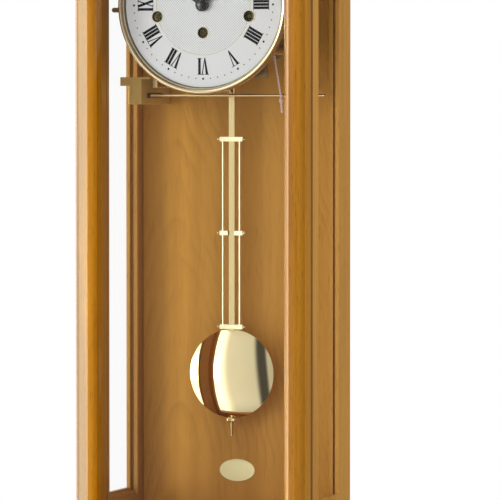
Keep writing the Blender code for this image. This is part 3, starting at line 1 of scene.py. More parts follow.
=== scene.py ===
"""Looks of the regulator wall clock: finishes, fine pieces, studio and camera.

Metres, +Z up. X runs to the viewer's right, Y runs into the wall and the wall is the plane Y = 0.
The origin is where the axis of the dial meets the wall. A depth called "out" is measured from the
wall into the room, so its Y is -out.
"""

import logging
import math
from dataclasses import dataclass, replace
from enum import Enum
from typing import Callable, Iterable, Sequence

import bmesh
import bpy
from mathutils import Matrix, Vector


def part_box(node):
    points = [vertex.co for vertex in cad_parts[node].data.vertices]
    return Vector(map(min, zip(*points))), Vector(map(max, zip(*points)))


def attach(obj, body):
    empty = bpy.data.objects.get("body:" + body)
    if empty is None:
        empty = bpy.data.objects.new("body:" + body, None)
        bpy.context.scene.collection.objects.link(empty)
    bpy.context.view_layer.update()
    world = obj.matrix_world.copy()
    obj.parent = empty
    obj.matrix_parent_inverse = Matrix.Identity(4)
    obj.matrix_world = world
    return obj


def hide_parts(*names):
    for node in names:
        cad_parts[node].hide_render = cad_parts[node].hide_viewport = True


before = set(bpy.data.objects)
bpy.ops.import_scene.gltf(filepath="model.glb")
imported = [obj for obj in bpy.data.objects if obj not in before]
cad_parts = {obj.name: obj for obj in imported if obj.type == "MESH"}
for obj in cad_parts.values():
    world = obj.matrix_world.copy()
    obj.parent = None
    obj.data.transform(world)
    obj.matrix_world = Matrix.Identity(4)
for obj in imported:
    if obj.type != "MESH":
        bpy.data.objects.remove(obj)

LOG = logging.getLogger("clock")

Colour = tuple[float, float, float]
Point = tuple[float, float]
Socket = bpy.types.NodeSocket


def rgba(colour: Colour) -> tuple[float, float, float, float]:
    """Adds full opacity to a colour.

    Args:
        colour: Linear red, green and blue.

    Returns:
        The colour with its alpha.
    """
    return (*colour, 1.0)


# Shader graphs
class Graph:
    """Writes the nodes of one shader tree."""

    def __init__(self, tree: bpy.types.NodeTree) -> None:
        """Keeps the tree that the nodes are added to."""
        self.tree = tree

    def add(self, kind: str, inputs: dict | None = None, **settings: object) -> bpy.types.Node:
        """Adds a node.

        Args:
            kind: The node's type name.
            inputs: Sockets by name or number, each with a constant or a socket to link.
            **settings: Properties of the node.

        Returns:
            The new node.
        """
        node = self.tree.nodes.new(kind)
        for key, value in settings.items():
            setattr(node, key, value)
        for key, value in (inputs or {}).items():
            self.set(node.inputs[key], value)
        return node

    def set(self, socket: Socket, value: object) -> None:
        """Links a socket to another one, or gives it a constant.

        Args:
            socket: The input to set.
            value: An output to link, or the constant.
        """
        if isinstance(value, bpy.types.NodeSocket):
            self.tree.links.new(value, socket)
        else:
            socket.default_value = value

    def math(self, operation: str, first: object, second: object = 0.0) -> Socket:
        """One step of arithmetic on values."""
        return self.add("ShaderNodeMath", {0: first, 1: second}, operation=operation).outputs[0]

    def weighted(self, *layers: tuple[Socket, float]) -> Socket:
        """Adds values up, each by its own weight.

        Args:
            *layers: The values, each with its weight.

        Returns:
            Their sum.
        """
        total, *others = [self.math("MULTIPLY", value, weight) for value, weight in layers]
        for other in others:
            total = self.math("ADD", total, other)
        return total

    def mix(self, factor: object, first: object, second: object, blend: str = "MIX") -> Socket:
        """Mixes two colours.

        Args:
            factor: The second colour's share.
            first: The first colour.
            second: The second colour.
            blend: The way that the second is laid over the first.

        Returns:
            The mixed colour.
        """
        node = self.add("ShaderNodeMix", data_type="RGBA", blend_type=blend)
        self.set(node.inputs[0], factor)
        self.set(node.inputs[6], first)
        self.set(node.inputs[7], second)
        return node.outputs[2]

    def span(self, value: object, low: float, high: float, start: float = 0.0, end: float = 1.0) -> Socket:
        """Maps a value from one range to another with a smooth step.

        Args:
            value: The value.
            low: Where the step starts.
            high: Where the step ends.
            start: The result up to the step.
            end: The result past the step.

        Returns:
            The mapped value.
        """
        node = self.add(
            "ShaderNodeMapRange",
            {0: value, 1: low, 2: high, 3: start, 4: end},
            interpolation_type="SMOOTHSTEP",
        )
        return node.outputs[0]

    def ramp(self, value: object, stops: Sequence[Point]) -> Socket:
        """A level read off straight lines between stops.

        Args:
            value: What is looked up.
            stops: Places in rising order, each with its level between 0 and 1.

        Returns:
            The level at the value.
        """
        low, high = stops[0][0], stops[-1][0]
        along = self.add("ShaderNodeMapRange", {0: value, 1: low, 2: high, 3: 0.0, 4: 1.0}).outputs[0]
        node = self.add("ShaderNodeValToRGB", {0: along})
        elements = node.color_ramp.elements
        for i, (place, level) in enumerate(stops):
            share = (place - low) / (high - low)
            element = elements[i] if i < 2 else elements.new(share)
            element.position = share
            element.color = rgba((level,) * 3)
        return node.outputs[0]

    def noise(self, vector: Socket, scale: float, detail: float = 2.0, rough: float = 0.5) -> Socket:
        """A soft noise between 0 and 1.

        Args:
            vector: The coordinates.
            scale: How fine it is.
            detail: How many finer layers it has.
            rough: How strong they are.

        Returns:
            The noise.
        """
        node = self.add(
            "ShaderNodeTexNoise", {"Vector": vector, "Scale": scale, "Detail": detail, "Roughness": rough}
        )
        return node.outputs[0]

    def place(self, stretch: Sequence[float] = (1.0, 1.0, 1.0)) -> Socket:
        """Object coordinates, scaled along each axis."""
        where = self.add("ShaderNodeTexCoord").outputs["Object"]
        return self.add("ShaderNodeMapping", {"Vector": where, "Scale": tuple(stretch)}).outputs[0]

    def bump(self, height: Socket, strength: float, distance: float) -> Socket:
        """A normal raised by a height."""
        node = self.add("ShaderNodeBump", {"Height": height, "Strength": strength, "Distance": distance})
        return node.outputs[0]


class Kind(Enum):
    """Socket types of a shared node group."""

    COLOUR = "NodeSocketColor"
    VALUE = "NodeSocketFloat"
    VECTOR = "NodeSocketVector"


def shared_group(
    name: str,
    inputs: dict[str, Kind],
    outputs: dict[str, Kind],
    write: Callable[[Graph, dict[str, Socket]], dict[str, Socket]],
) -> bpy.types.NodeTree:
    """Makes a shader node group once and returns it after that.

    Args:
        name: The group's name.
        inputs: Its inputs.
        outputs: Its outputs.
        write: Writes the nodes and returns the socket of each output.

    Returns:
        The group.
    """
    found = bpy.data.node_groups.get(name)
    if found:
        return found
    tree = bpy.data.node_groups.new(name, "ShaderNodeTree")
    for label, kind in inputs.items():
        tree.interface.new_socket(label, in_out="INPUT", socket_type=kind.value)
    for label, kind in outputs.items():
        tree.interface.new_socket(label, in_out="OUTPUT", socket_type=kind.value)
    graph = Graph(tree)
    source = graph.add("NodeGroupInput")
    made = write(graph, {label: source.outputs[label] for label in inputs})
    graph.add("NodeGroupOutput", made)
    return tree


def grain_group() -> bpy.types.NodeTree:
    """Wood: broad figure, streaks, fibres and pores along a stretched coordinate.

    Returns:
        The group.
    """

    def write(graph: Graph, given: dict[str, Socket]) -> dict[str, Socket]:
        """Writes the group's nodes.

        Args:
            graph: The writer of the group's tree.
            given: The group's inputs.

        Returns:
            The group's outputs.
        """
        where = given["Where"]
        figure = graph.add(
            "ShaderNodeTexWave",
            {"Vector": where, "Scale": 9.0, "Distortion": 7.0, "Detail": 2.5, "Detail Scale": 1.1},
        ).outputs[1]
        cloud = graph.noise(where, 7.0, 3.0)
        streak = graph.noise(where, 95.0, 4.0, 0.62)
        fibre = graph.noise(where, 760.0, 2.0)
        pore = graph.span(graph.noise(where, 1250.0, 1.0), 0.62, 0.74)
        tone = graph.weighted((figure, 0.26), (cloud, 0.42), (streak, 0.44), (fibre, 0.16))
        tone = graph.span(tone, 0.40, 0.88)
        tone = graph.math("MULTIPLY", tone, given["Contrast"])
        colour = graph.mix(tone, given["Pale"], given["Deep"])
        colour = graph.mix(graph.math("MULTIPLY", pore, 0.48), colour, given["Pore"])
        gloss = graph.span(streak, 0.2, 0.8, 0.0, 1.0)
        height = graph.math("SUBTRACT", fibre, pore)
        return {"Colour": colour, "Gloss": gloss, "Height": height}

    return shared_group(
        "wood_grain",
        {
            "Where": Kind.VECTOR,
            "Pale": Kind.COLOUR,
            "Deep": Kind.COLOUR,
            "Pore": Kind.COLOUR,
            "Contrast": Kind.VALUE,
        },
        {"Colour": Kind.COLOUR, "Gloss": Kind.VALUE, "Height": Kind.VALUE},
        write,
    )


def arches_group() -> bpy.types.NodeTree:
    """The pointed arches of a flat-sawn board, as a value that deepens towards each ring's edge.

    Returns:
        The group.
    """
    sway_reach, half_arch, steepness = 0.05, 0.04, 0.22

    def write(graph: Graph, given: dict[str, Socket]) -> dict[str, Socket]:
        """Writes the group's nodes.

        Args:
            graph: The writer of the group's tree.
            given: The group's inputs.

        Returns:
            The group's outputs.
        """
        parts = graph.add("ShaderNodeSeparateXYZ", {0: given["Where"]}).outputs
        sway = graph.noise(given["Where"], 6.0, 2.0)
        across = graph.math("SUBTRACT", parts[0], given["Middle"])
        shift = graph.math("MULTIPLY", graph.math("SUBTRACT", sway, 0.5), sway_reach)
        leg = graph.math("DIVIDE", graph.math("ADD", across, shift), half_arch)
        leg = graph.math("SQRT", graph.math("ADD", graph.math("MULTIPLY", leg, leg), 1.0))
        rings = graph.math("ADD", graph.math("MULTIPLY", leg, steepness), parts[2])
        rings = graph.math("DIVIDE", rings, given["Pitch"])
        drawn_out = graph.add("ShaderNodeMapping", {0: given["Where"], 3: (1.0, 1.0, 0.12)}).outputs[0]
        rough = graph.noise(drawn_out, 60.0)
        rings = graph.weighted((rings, 1.0), (rough, 0.55), (sway, 2.0))
        saw = graph.math("FRACT", rings)
        edge = graph.math("MULTIPLY", graph.math("POWER", saw, 3.0), graph.span(saw, 1.0, 0.93))
        some = graph.span(graph.noise(given["Where"], 11.0, 2.0), 0.35, 0.65)
        return {"Ring": graph.math("MULTIPLY", edge, some)}

    return shared_group(
        "board_arches",
        {"Where": Kind.VECTOR, "Middle": Kind.VALUE, "Pitch": Kind.VALUE},
        {"Ring": Kind.VALUE},
        write,
    )


def handling_group() -> bpy.types.NodeTree:
    """Uneven lacquer and faint handling marks on metal, as one value.

    Returns:
        The group.
    """

    def write(graph: Graph, given: dict[str, Socket]) -> dict[str, Socket]:
        """Writes the group's nodes.

        Args:
            graph: The writer of the group's tree.
            given: The group's inputs.

        Returns:
            The group's outputs.
        """
        broad = graph.noise(given["Where"], 28.0, 3.0, 0.6)
        fine = graph.noise(given["Where"], 420.0, 2.0)
        mark = graph.weighted((broad, 0.7), (fine, 0.3))
        return {"Mark": graph.span(mark, 0.32, 0.70), "Fine": fine}

    return shared_group("handling", {"Where": Kind.VECTOR}, {"Mark": Kind.VALUE, "Fine": Kind.VALUE}, write)


def lattice_group() -> bpy.types.NodeTree:
    """Engine-turned squares on the plane of the dial with slanting ribs, as a tone and a height.

    Returns:
        The group.
    """
    ribs_a_pitch = 4.0

    def write(graph: Graph, given: dict[str, Socket]) -> dict[str, Socket]:
        """Writes the group's nodes.

        Args:
            graph: The writer of the group's tree.
            given: The group's inputs.

        Returns:
            The group's outputs.
        """
        parts = graph.add("ShaderNodeSeparateXYZ", {0: given["Where"]}).outputs
        rise = graph.math("ADD", parts[0], parts[2])
        fall = graph.math("SUBTRACT", parts[0], parts[2])
        level = (parts[0], parts[2])
        waves = [graph.math("SINE", graph.math("MULTIPLY", line, given["Pitch"])) for line in level]
        check = graph.math("MULTIPLY", waves[0], waves[1])
        rib_pitch = graph.math("MULTIPLY", given["Pitch"], ribs_a_pitch)
        ribs = graph.math("SINE", graph.math("MULTIPLY", rise, rib_pitch))
        cross = graph.math("SINE", graph.math("MULTIPLY", fall, rib_pitch))
        side = graph.math("GREATER_THAN", check, 0.0)
        fine = graph.add("ShaderNodeMix", data_type="FLOAT")
        graph.set(fine.inputs[0], side)
        graph.set(fine.inputs[2], ribs)
        graph.set(fine.inputs[3], cross)
        return {"Check": graph.span(check, -0.5, 0.5), "Height": fine.outputs[0]}

    return shared_group(
        "lattice",
        {"Where": Kind.VECTOR, "Pitch": Kind.VALUE},
        {"Check": Kind.VALUE, "Height": Kind.VALUE},
        write,
    )


# Finishes
def new_material(name: str) -> tuple[bpy.types.Material, Graph, bpy.types.Node]:
    """Makes an empty material.

    Args:
        name: The material's name.

    Returns:
        The material, the writer of its tree and its principled shader.
    """
    material = bpy.data.materials.new(name)
    material.use_nodes = True
    shader = material.node_tree.nodes["Principled BSDF"]
    return material, Graph(material.node_tree), shader


class Finish:
    """A finish that makes its material once."""

    name: str

    def material(self) -> bpy.types.Material:
        """The material of this finish."""
        return bpy.data.materials.get(self.name) or self.write()

    def write(self) -> bpy.types.Material:
        """Writes the material's nodes."""
        raise NotImplementedError


class Grain(Enum):
    """The way that the grain runs, as a stretch of the coordinates."""

    UPRIGHT = (1.0, 1.0, 0.055)
    ACROSS = (0.055, 1.0, 1.0)
    DEEP = (1.0, 0.055, 1.0)


@dataclass(frozen=True)
class PaintedShadeAndTone:
    """A darker tone laid into part of a piece's colour: painted shade where light falls off, and on the side
    frame also a darker rear stile.

    Attributes:
        axis: The axis along which it changes, 0 to 2.
        stops: Places along the axis, each with the tone's strength there.
        both: Whether the two sides of the origin have it alike.
        tone: The colour that it tends to.
    """

    axis: int
    stops: tuple[Point, ...]
    both: bool = False
    tone: Colour = (0.030, 0.010, 0.001)


@dataclass(frozen=True)
class Wood(Finish):
    """Varnished wood."""

    name: str
    pale: Colour
    deep: Colour
    pore: Colour
    grain: Grain
    contrast: float = 0.8
    coat: float = 0.5
    roughness: float = 0.34
    specular: float = 0.5
    arches: float = 0.0
    arch_middle: float = -0.075
    arch_pitch: float = 0.046
    shade_and_tone: PaintedShadeAndTone | None = None
    roughness_span: Point = (-0.06, 0.08)
    coat_roughness: float = 0.14
    relief: float = 0.10
    relief_depth: float = 0.0004

    def write(self) -> bpy.types.Material:
        """Writes the material's nodes.

        Returns:
            The new material.
        """
        material, graph, shader = new_material(self.name)
        wood = graph.add("ShaderNodeGroup", node_tree=grain_group())
        inputs = {
            "Where": graph.place(self.grain.value),
            "Pale": rgba(self.pale),
            "Deep": rgba(self.deep),
            "Pore": rgba(self.pore),
            "Contrast": self.contrast,
        }
        for label, value in inputs.items():
            graph.set(wood.inputs[label], value)
        smooth, dull = (self.roughness + change for change in self.roughness_span)
        rough = graph.span(wood.outputs["Gloss"], 0.0, 1.0, smooth, dull)
        colour = wood.outputs["Colour"]
        if self.arches:
            board = graph.add("ShaderNodeGroup", node_tree=arches_group())
            graph.set(board.inputs["Where"], graph.place())
            graph.set(board.inputs["Middle"], self.arch_middle)
            graph.set(board.inputs["Pitch"], self.arch_pitch)
            arch = graph.math("MULTIPLY", board.outputs["Ring"], self.arches)
            colour = graph.mix(arch, colour, rgba(self.pore))
        # Painted shade and darker tone laid over the wood's colour along one axis.
        if self.shade_and_tone:
            where = graph.add("ShaderNodeSeparateXYZ", {0: graph.place()}).outputs[self.shade_and_tone.axis]
            if self.shade_and_tone.both:
                where = graph.math("ABSOLUTE", where)
            colour = graph.mix(graph.ramp(where, self.shade_and_tone.stops), colour, rgba(self.shade_and_tone.tone))
        graph.set(shader.inputs["Base Color"], colour)
        graph.set(shader.inputs["Roughness"], rough)
        graph.set(shader.inputs["Normal"], graph.bump(wood.outputs["Height"], self.relief, self.relief_depth))
        graph.set(shader.inputs["Specular IOR Level"], self.specular)
        graph.set(shader.inputs["Coat Weight"], self.coat)
        graph.set(shader.inputs["Coat Roughness"], self.coat_roughness)
        return material


@dataclass(frozen=True)
class Metal(Finish):
    """Metal, polished or brushed, with uneven lacquer."""

    name: str
    colour: Colour
    tarnish: Colour
    roughness: float
    spread: float = 0.06
    stretch: tuple[float, float, float] = (1.0, 1.0, 1.0)
    relief: float = 0.02
    metallic: float = 1.0
    relief_depth: float = 0.0003

    def write(self) -> bpy.types.Material:
        """Writes the material's nodes.

        Returns:
            The new material.
        """
        material, graph, shader = new_material(self.name)
        marks = graph.add("ShaderNodeGroup", node_tree=handling_group())
        graph.set(marks.inputs["Where"], graph.place(self.stretch))
        mark = marks.outputs["Mark"]
        graph.set(shader.inputs["Base Color"], graph.mix(mark, rgba(self.colour), rgba(self.tarnish)))
        rough = graph.span(mark, 0.0, 1.0, self.roughness, self.roughness + self.spread)
        graph.set(shader.inputs["Roughness"], rough)
        graph.set(shader.inputs["Metallic"], self.metallic)
        graph.set(shader.inputs["Normal"], graph.bump(marks.outputs["Fine"], self.relief, self.relief_depth))
        return material


@dataclass(frozen=True)
class Paint(Finish):
    """Paint, ink or plastic, with a slight unevenness."""

    name: str
    colour: Colour
    shade: Colour
    roughness: float
    coat: float = 0.0
    relief: float = 0.03
    specular: float = 0.5
    spread: float = 0.08
    relief_depth: float = 0.0003

    def write(self) -> bpy.types.Material:
        """Writes the material's nodes.

        Returns:
            The new material.
        """
        material, graph, shader = new_material(self.name)
        marks = graph.add("ShaderNodeGroup", node_tree=handling_group())
        graph.set(marks.inputs["Where"], graph.place())
        mark = marks.outputs["Mark"]
        graph.set(shader.inputs["Base Color"], graph.mix(mark, rgba(self.colour), rgba(self.shade)))
        rough = graph.span(mark, 0.0, 1.0, self.roughness, self.roughness + self.spread)
        graph.set(shader.inputs["Roughness"], rough)
        graph.set(shader.inputs["Specular IOR Level"], self.specular)
        graph.set(shader.inputs["Coat Weight"], self.coat)
        graph.set(shader.inputs["Normal"], graph.bump(marks.outputs["Fine"], self.relief, self.relief_depth))
        return material


@dataclass(frozen=True)
class Pane(Finish):
    """Clear sheet glass: what is behind shows through, under a thin reflection."""

    name: str
    tint: Colour
    sheen: float = 0.22
    face_on: float = 0.04
    roughness: Point = (0.005, 0.03)

    def write(self) -> bpy.types.Material:
        """Writes the material's nodes.

        Returns:
            The new material.
        """
        material, graph, shader = new_material(self.name)
        output = material.node_tree.nodes["Material Output"]
        material.node_tree.nodes.remove(shader)
        smear = graph.noise(graph.place(), 9.0, 3.0, 0.6)
        through = graph.add("ShaderNodeBsdfTransparent", {0: rgba(self.tint)})
        gloss = graph.add("ShaderNodeBsdfGlossy", {"Roughness": graph.span(smear, 0.3, 0.7, *self.roughness)})
        facing_away = graph.add("ShaderNodeLayerWeight", {"Blend": 0.5}).outputs["Facing"]
        edge = graph.math("MULTIPLY", graph.math("POWER", facing_away, 5.0), 1.0 - self.face_on)
        share = graph.math("MULTIPLY", graph.math("ADD", edge, self.face_on), self.sheen)
        mixed = graph.add("ShaderNodeMixShader", {0: share})
        graph.set(mixed.inputs[1], through.outputs[0])
        graph.set(mixed.inputs[2], gloss.outputs[0])
        graph.set(output.inputs["Surface"], mixed.outputs[0])
        return material


@dataclass(frozen=True)
class DialFace(Finish):
    """The dial: engine-turned silver inside a gilt circle, and a white ring for the numerals."""

    name: str
    silver: Colour
    silver_shade: Colour
    white: Colour
    gilt: Colour
    circle_radius: float
    circle_width: float
    pitch: float
    silver_metal: float = 0.20
    gilt_metal: float = 0.3
    speckle: float = 0.25
    specular: float = 0.15
    roughness: float = 0.46
    silver_polish: float = 0.08
    relief: float = 0.16
    relief_depth: float = 0.0002

    def write(self) -> bpy.types.Material:
        """Writes the material's nodes.

        Returns:
            The new material.
        """
        material, graph, shader = new_material(self.name)
        where = graph.place()
        parts = graph.add("ShaderNodeSeparateXYZ", {0: where}).outputs
        flat = graph.add("ShaderNodeCombineXYZ", {0: parts[0], 2: parts[2]}).outputs[0]
        radius = graph.add("ShaderNodeVectorMath", {0: flat}, operation="LENGTH").outputs["Value"]
        inside = graph.math("LESS_THAN", radius, self.circle_radius)
        off = graph.math("ABSOLUTE", graph.math("SUBTRACT", radius, self.circle_radius))
        circle = graph.math("LESS_THAN", off, self.circle_width / 2)
        lattice = graph.add("ShaderNodeGroup", node_tree=lattice_group())
        graph.set(lattice.inputs["Where"], where)
        graph.set(lattice.inputs["Pitch"], math.tau / self.pitch)
        silver = graph.mix(lattice.outputs["Check"], rgba(self.silver), rgba(self.silver_shade))
        speckle = graph.math("MULTIPLY", graph.noise(where, 900.0, 2.0), self.speckle)
        white = graph.mix(speckle, rgba(self.white), rgba(self.silver_shade))
        colour = graph.mix(inside, white, silver)
        colour = graph.mix(circle, colour, rgba(self.gilt))
        graph.set(shader.inputs["Base Color"], colour)
        silver_metal = graph.math("MULTIPLY", inside, self.silver_metal)
        gilt_metal = graph.math("MULTIPLY", circle, self.gilt_metal)
        graph.set(shader.inputs["Metallic"], graph.math("MAXIMUM", silver_metal, gilt_metal))
        graph.set(shader.inputs["Specular IOR Level"], self.specular)
        polish = graph.math("MULTIPLY", inside, self.silver_polish)
        graph.set(shader.inputs["Roughness"], graph.math("SUBTRACT", self.roughness, polish))
        height = graph.math("MULTIPLY", lattice.outputs["Height"], inside)
        graph.set(shader.inputs["Normal"], graph.bump(height, self.relief, self.relief_depth))
        return material


@dataclass(frozen=True)
class Twist(Finish):
    """Twisted cord: slanting strands of two tones."""

    name: str
    light: Colour
    dark: Colour
    pitch: float
    lean: float = 0.9
    fuzz: float = 0.2
    roughness: float = 0.85
    relief: float = 0.6
    relief_depth: float = 0.0006

    def write(self) -> bpy.types.Material:
        """Writes the material's nodes.

        Returns:
            The new material.
        """
        material, graph, shader = new_material(self.name)
        where = graph.place()
        parts = graph.add("ShaderNodeSeparateXYZ", {0: where}).outputs
        slant = graph.math("ADD", parts[2], graph.math("MULTIPLY", parts[0], self.lean))
        wave = graph.math("SINE", graph.math("MULTIPLY", slant, math.tau / self.pitch))
        strand = graph.span(wave, -0.6, 0.6)
        fuzz = graph.noise(where, 2600.0, 2.0)
        tone = graph.weighted((strand, 1.0 - self.fuzz), (fuzz, self.fuzz))
        graph.set(shader.inputs["Base Color"], graph.mix(tone, rgba(self.dark), rgba(self.light)))
        graph.set(shader.inputs["Roughness"], self.roughness)
        graph.set(shader.inputs["Normal"], graph.bump(tone, self.relief, self.relief_depth))
        return material


AMBER = (0.74, 0.300, 0.007)
AMBER_DEEP = (0.45, 0.163, 0.003)
AMBER_PORE = (0.14, 0.042, 0.001)
RAIL_WOOD = Wood(
    "rail_wood",
    AMBER,
    AMBER_DEEP,
    AMBER_PORE,
    Grain.ACROSS,
    contrast=1.15,
    coat=0.9,
    roughness=0.34,
    specular=0.03,
)
DOOR_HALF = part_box("door_stile_right")[1].x
DOOR_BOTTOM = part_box("door_bottom_rail")[0].z
DOOR_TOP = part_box("door_top_rail")[1].z
# Painted shade on the door's frame, as distance from its outer edge and strength of the darkening there:
# darker towards the outer edge where the moulding turns from the light, clear on the crown, a painted shadow
# line at the inner edge and painted shade in the reveal behind it.
EDGE_PAINTED_SHADE = (
    (0.0002, 0.10), (0.0007, 0.42), (0.0035, 0.42), (0.0215, 0.0),
    (0.0253, 0.0), (0.0258, 0.55), (0.0263, 0.30), (0.0325, 0.30),
)
# The door's stiles and rails carry that painted shade of their edges.
STILE_WOOD = replace(
    RAIL_WOOD,
    name="stile_wood",
    grain=Grain.UPRIGHT,
    shade_and_tone=PaintedShadeAndTone(0, tuple((DOOR_HALF - inset, tone) for inset, tone in reversed(EDGE_PAINTED_SHADE)), both=True),
)
LATH_WOOD = replace(
    RAIL_WOOD,
    name="lath_wood",
    shade_and_tone=PaintedShadeAndTone(
        2,
        tuple((DOOR_BOTTOM + inset, tone) for inset, tone in EDGE_PAINTED_SHADE)
        + tuple((DOOR_TOP - inset, tone) for inset, tone in reversed(EDGE_PAINTED_SHADE)),
    ),
)
# Depth and strength of the darkening: a painted shadow in the recess behind the door's overhang, and the
# slightly darker rear stile.
DOOR_PAINTED_SHADOW = ((-0.167, 0.0), (-0.148, 0.0), (-0.1465, 0.66), (-0.1405, 0.66), (-0.139, 0.0))
REAR_STILE = ((-0.09, 0.0), (-0.08, 0.15), (0.0, 0.15))
SIDE_WOOD = Wood(
    "side_wood",
    (0.78, 0.380, 0.068),
    (0.52, 0.225, 0.028),
    (0.28, 0.120, 0.013),
    Grain.UPRIGHT,
    contrast=0.95,
    coat=0.10,
    roughness=0.42,
    specular=0.20,
    shade_and_tone=PaintedShadeAndTone(1, DOOR_PAINTED_SHADOW + REAR_STILE),
)
# A darker copy of the side wood for the case's inside, the window reveals and the beads: painted shade.
SHADED_INNER_WOOD = Wood(
    "inner_wood_painted_shade",
    (0.60, 0.305, 0.066),
    (0.41, 0.187, 0.036),
    (0.21, 0.090, 0.015),
    Grain.UPRIGHT,
    contrast=0.95,
    coat=0.10,
    roughness=0.42,
    specular=0.20,
)
BOARD_WOOD = Wood(
    "board_wood",
    (0.52, 0.25, 0.05),
    (0.36, 0.15, 0.025),
    (0.18, 0.07, 0.01),
    Grain.DEEP,
    contrast=0.8,
    coat=0.10,
    roughness=0.42,
    specular=0.25,
)
PANEL_WOOD = Wood(
    "panel_wood",
    (0.62, 0.310, 0.054),
    (0.48, 0.220, 0.033),
    (0.24, 0.105, 0.016),
    Grain.UPRIGHT,
    contrast=0.52,
    coat=0.04,
    roughness=0.46,
    specular=0.14,
    arches=0.30,
)
BRASS = Metal("polished_brass", (0.82, 0.67, 0.39), (0.76, 0.60, 0.31), 0.09, 0.04)
BEZEL_BRASS = Metal("bezel_brass", (0.80, 0.65, 0.41), (0.73, 0.58, 0.34), 0.12, 0.05)
BOB_BRASS = Metal("bob_brass", (0.94, 0.79, 0.46), (0.92, 0.76, 0.42), 0.035, 0.015, relief=0.004)
ROD_BRASS = Metal("rod_brass", (0.71, 0.55, 0.28), (0.65, 0.49, 0.24), 0.20, 0.08, (1.0, 1.0, 0.05))
BAR_BRASS = Metal("bar_brass", (0.94, 0.86, 0.62), (0.90, 0.80, 0.54), 0.32, 0.10, (0.05, 1.0, 1.0))
PLATE_BRASS = Metal("plate_brass", (0.80, 0.63, 0.30), (0.72, 0.54, 0.23), 0.26, 0.12, (0.08, 1.0, 1.0))
WHEEL_BRASS = Metal("wheel_brass", (0.86, 0.68, 0.33), (0.78, 0.59, 0.26), 0.18, 0.08)
GILT = Metal("gilt_casting", (0.72, 0.50, 0.16), (0.62, 0.42, 0.12), 0.42, 0.10, relief=0.25, metallic=0.45)
STEEL = Metal("steel", (0.56, 0.56, 0.57), (0.44, 0.44, 0.45), 0.28, 0.12, (1.0, 0.06, 1.0))
BLUED_STEEL = Metal("dark_steel", (0.20, 0.19, 0.18), (0.12, 0.11, 0.11), 0.32, 0.10)
ROD_STEEL = Metal("gong_rod", (0.84, 0.66, 0.36), (0.74, 0.55, 0.27), 0.18, 0.10, (0.05, 1.0, 1.0))
# Near-black bronze for the winding arbors and bushes: the metal darkened as painted shade in the hollow of
# the winding holes.
SHADED_BRONZE = Metal("dark_bronze_painted_shade", (0.060, 0.044, 0.022), (0.040, 0.030, 0.015), 0.26, 0.10)
DULL_BRASS = Metal("dull_brass", (0.46, 0.34, 0.15), (0.38, 0.27, 0.11), 0.40, 0.12, metallic=0.8)
INK = Paint("dial_ink", (0.006, 0.0055, 0.0055), (0.012, 0.011, 0.011), 0.45, specular=0.08)
HAND_BLACK = Paint("hand_black", (0.010, 0.010, 0.010), (0.018, 0.017, 0.016), 0.16, coat=0.6, relief=0.004)
CATCH_BLACK = Paint("catch_plastic", (0.018, 0.018, 0.018), (0.03, 0.03, 0.03), 0.5)
RING_WHITE = Paint("hole_ring", (0.80, 0.78, 0.70), (0.72, 0.69, 0.60), 0.35)
LABEL = Metal("oval_label", (0.97, 0.88, 0.50), (0.93, 0.82, 0.44), 0.34, 0.10, metallic=0.45)
GLASS = Pane("door_pane", (0.997, 0.999, 0.998))
SIDE_PANE = Pane("side_pane", (0.997, 0.999, 0.998), 0.14)
DIAL_FACE = DialFace(
    "dial_face",
    silver=(0.73, 0.72, 0.74),
    silver_shade=(0.455, 0.45, 0.465),
    white=(0.75, 0.76, 0.765),
    gilt=(0.50, 0.43, 0.27),
    circle_radius=0.0566,
    circle_width=0.0007,
    pitch=0.0030,
)
CORD = Twist("cord_twist", (0.86, 0.70, 0.64), (0.52, 0.33, 0.28), 0.0032)


# Shapes
# Clearance between pieces that touch, and the reach within which points count as level or as one.
SEAT = 0.0003
TOUCH = 0.00001
WELD = 1e-6
FINE_WELD = 1e-7
# Angles under which faces are shaded as one, joined as one, and edges are left unrounded.
SMOOTH = math.radians(32)
FLAT = math.radians(0.5)
SHARP = math.radians(40)
# Rounding of edges: on most pieces, and on thin metal.
SOFT_EDGE = 0.0003
FINE_EDGE = 0.0002


def spot(x: float, out: float, z: float) -> Vector:
    """The point at x, a distance out from the wall, and height z."""
    return Vector((x, -out, z))


def middle_of(node: str) -> Vector:
    """The middle of a CAD node's box."""
    return sum(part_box(node), Vector()) / 2


def front_of(node: str) -> float:
    """How far out from the wall a CAD node reaches."""
    return -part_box(node)[0].y


FORWARD = Vector((0.0, -1.0, 0.0))
RIGHT = Vector((1.0, 0.0, 0.0))
UP = Vector((0.0, 0.0, 1.0))


def show(
    name: str,
    bm: bmesh.types.BMesh,
    finish: Finish,
    body: str,
    stands_for: Iterable[str] = (),
    extra: Iterable[Finish] = (),
) -> bpy.types.Object:
    """Makes a finished piece that rides on a body.

    Args:
        name: The piece's name.
        bm: Its shape, in the shared frame. It is freed.
        finish: Its finish.
        body: The body that it moves with.
        stands_for: The CAD nodes that it is shown in place of.
        extra: Further finishes, for faces with a higher material index.

    Returns:
        The piece.
    """
    bmesh.ops.remove_doubles(bm, verts=bm.verts, dist=WELD)
    bmesh.ops.recalc_face_normals(bm, faces=bm.faces)
    mesh = bpy.data.meshes.new(name)
    bm.to_mesh(mesh)
    bm.free()
    mesh.shade_smooth()
    mesh.set_sharp_from_angle(angle=SMOOTH)
    for each in (finish, *extra):
        mesh.materials.append(each.material())
    piece = bpy.data.objects.new(name, mesh)
    bpy.context.scene.collection.objects.link(piece)
    flats = piece.modifiers.new("flats", "WEIGHTED_NORMAL")
    flats.keep_sharp = True
    nodes = list(stands_for)
    if nodes:
        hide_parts(*nodes)
    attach(piece, body)
    LOG.info("made %s on %s", name, body)
    return piece


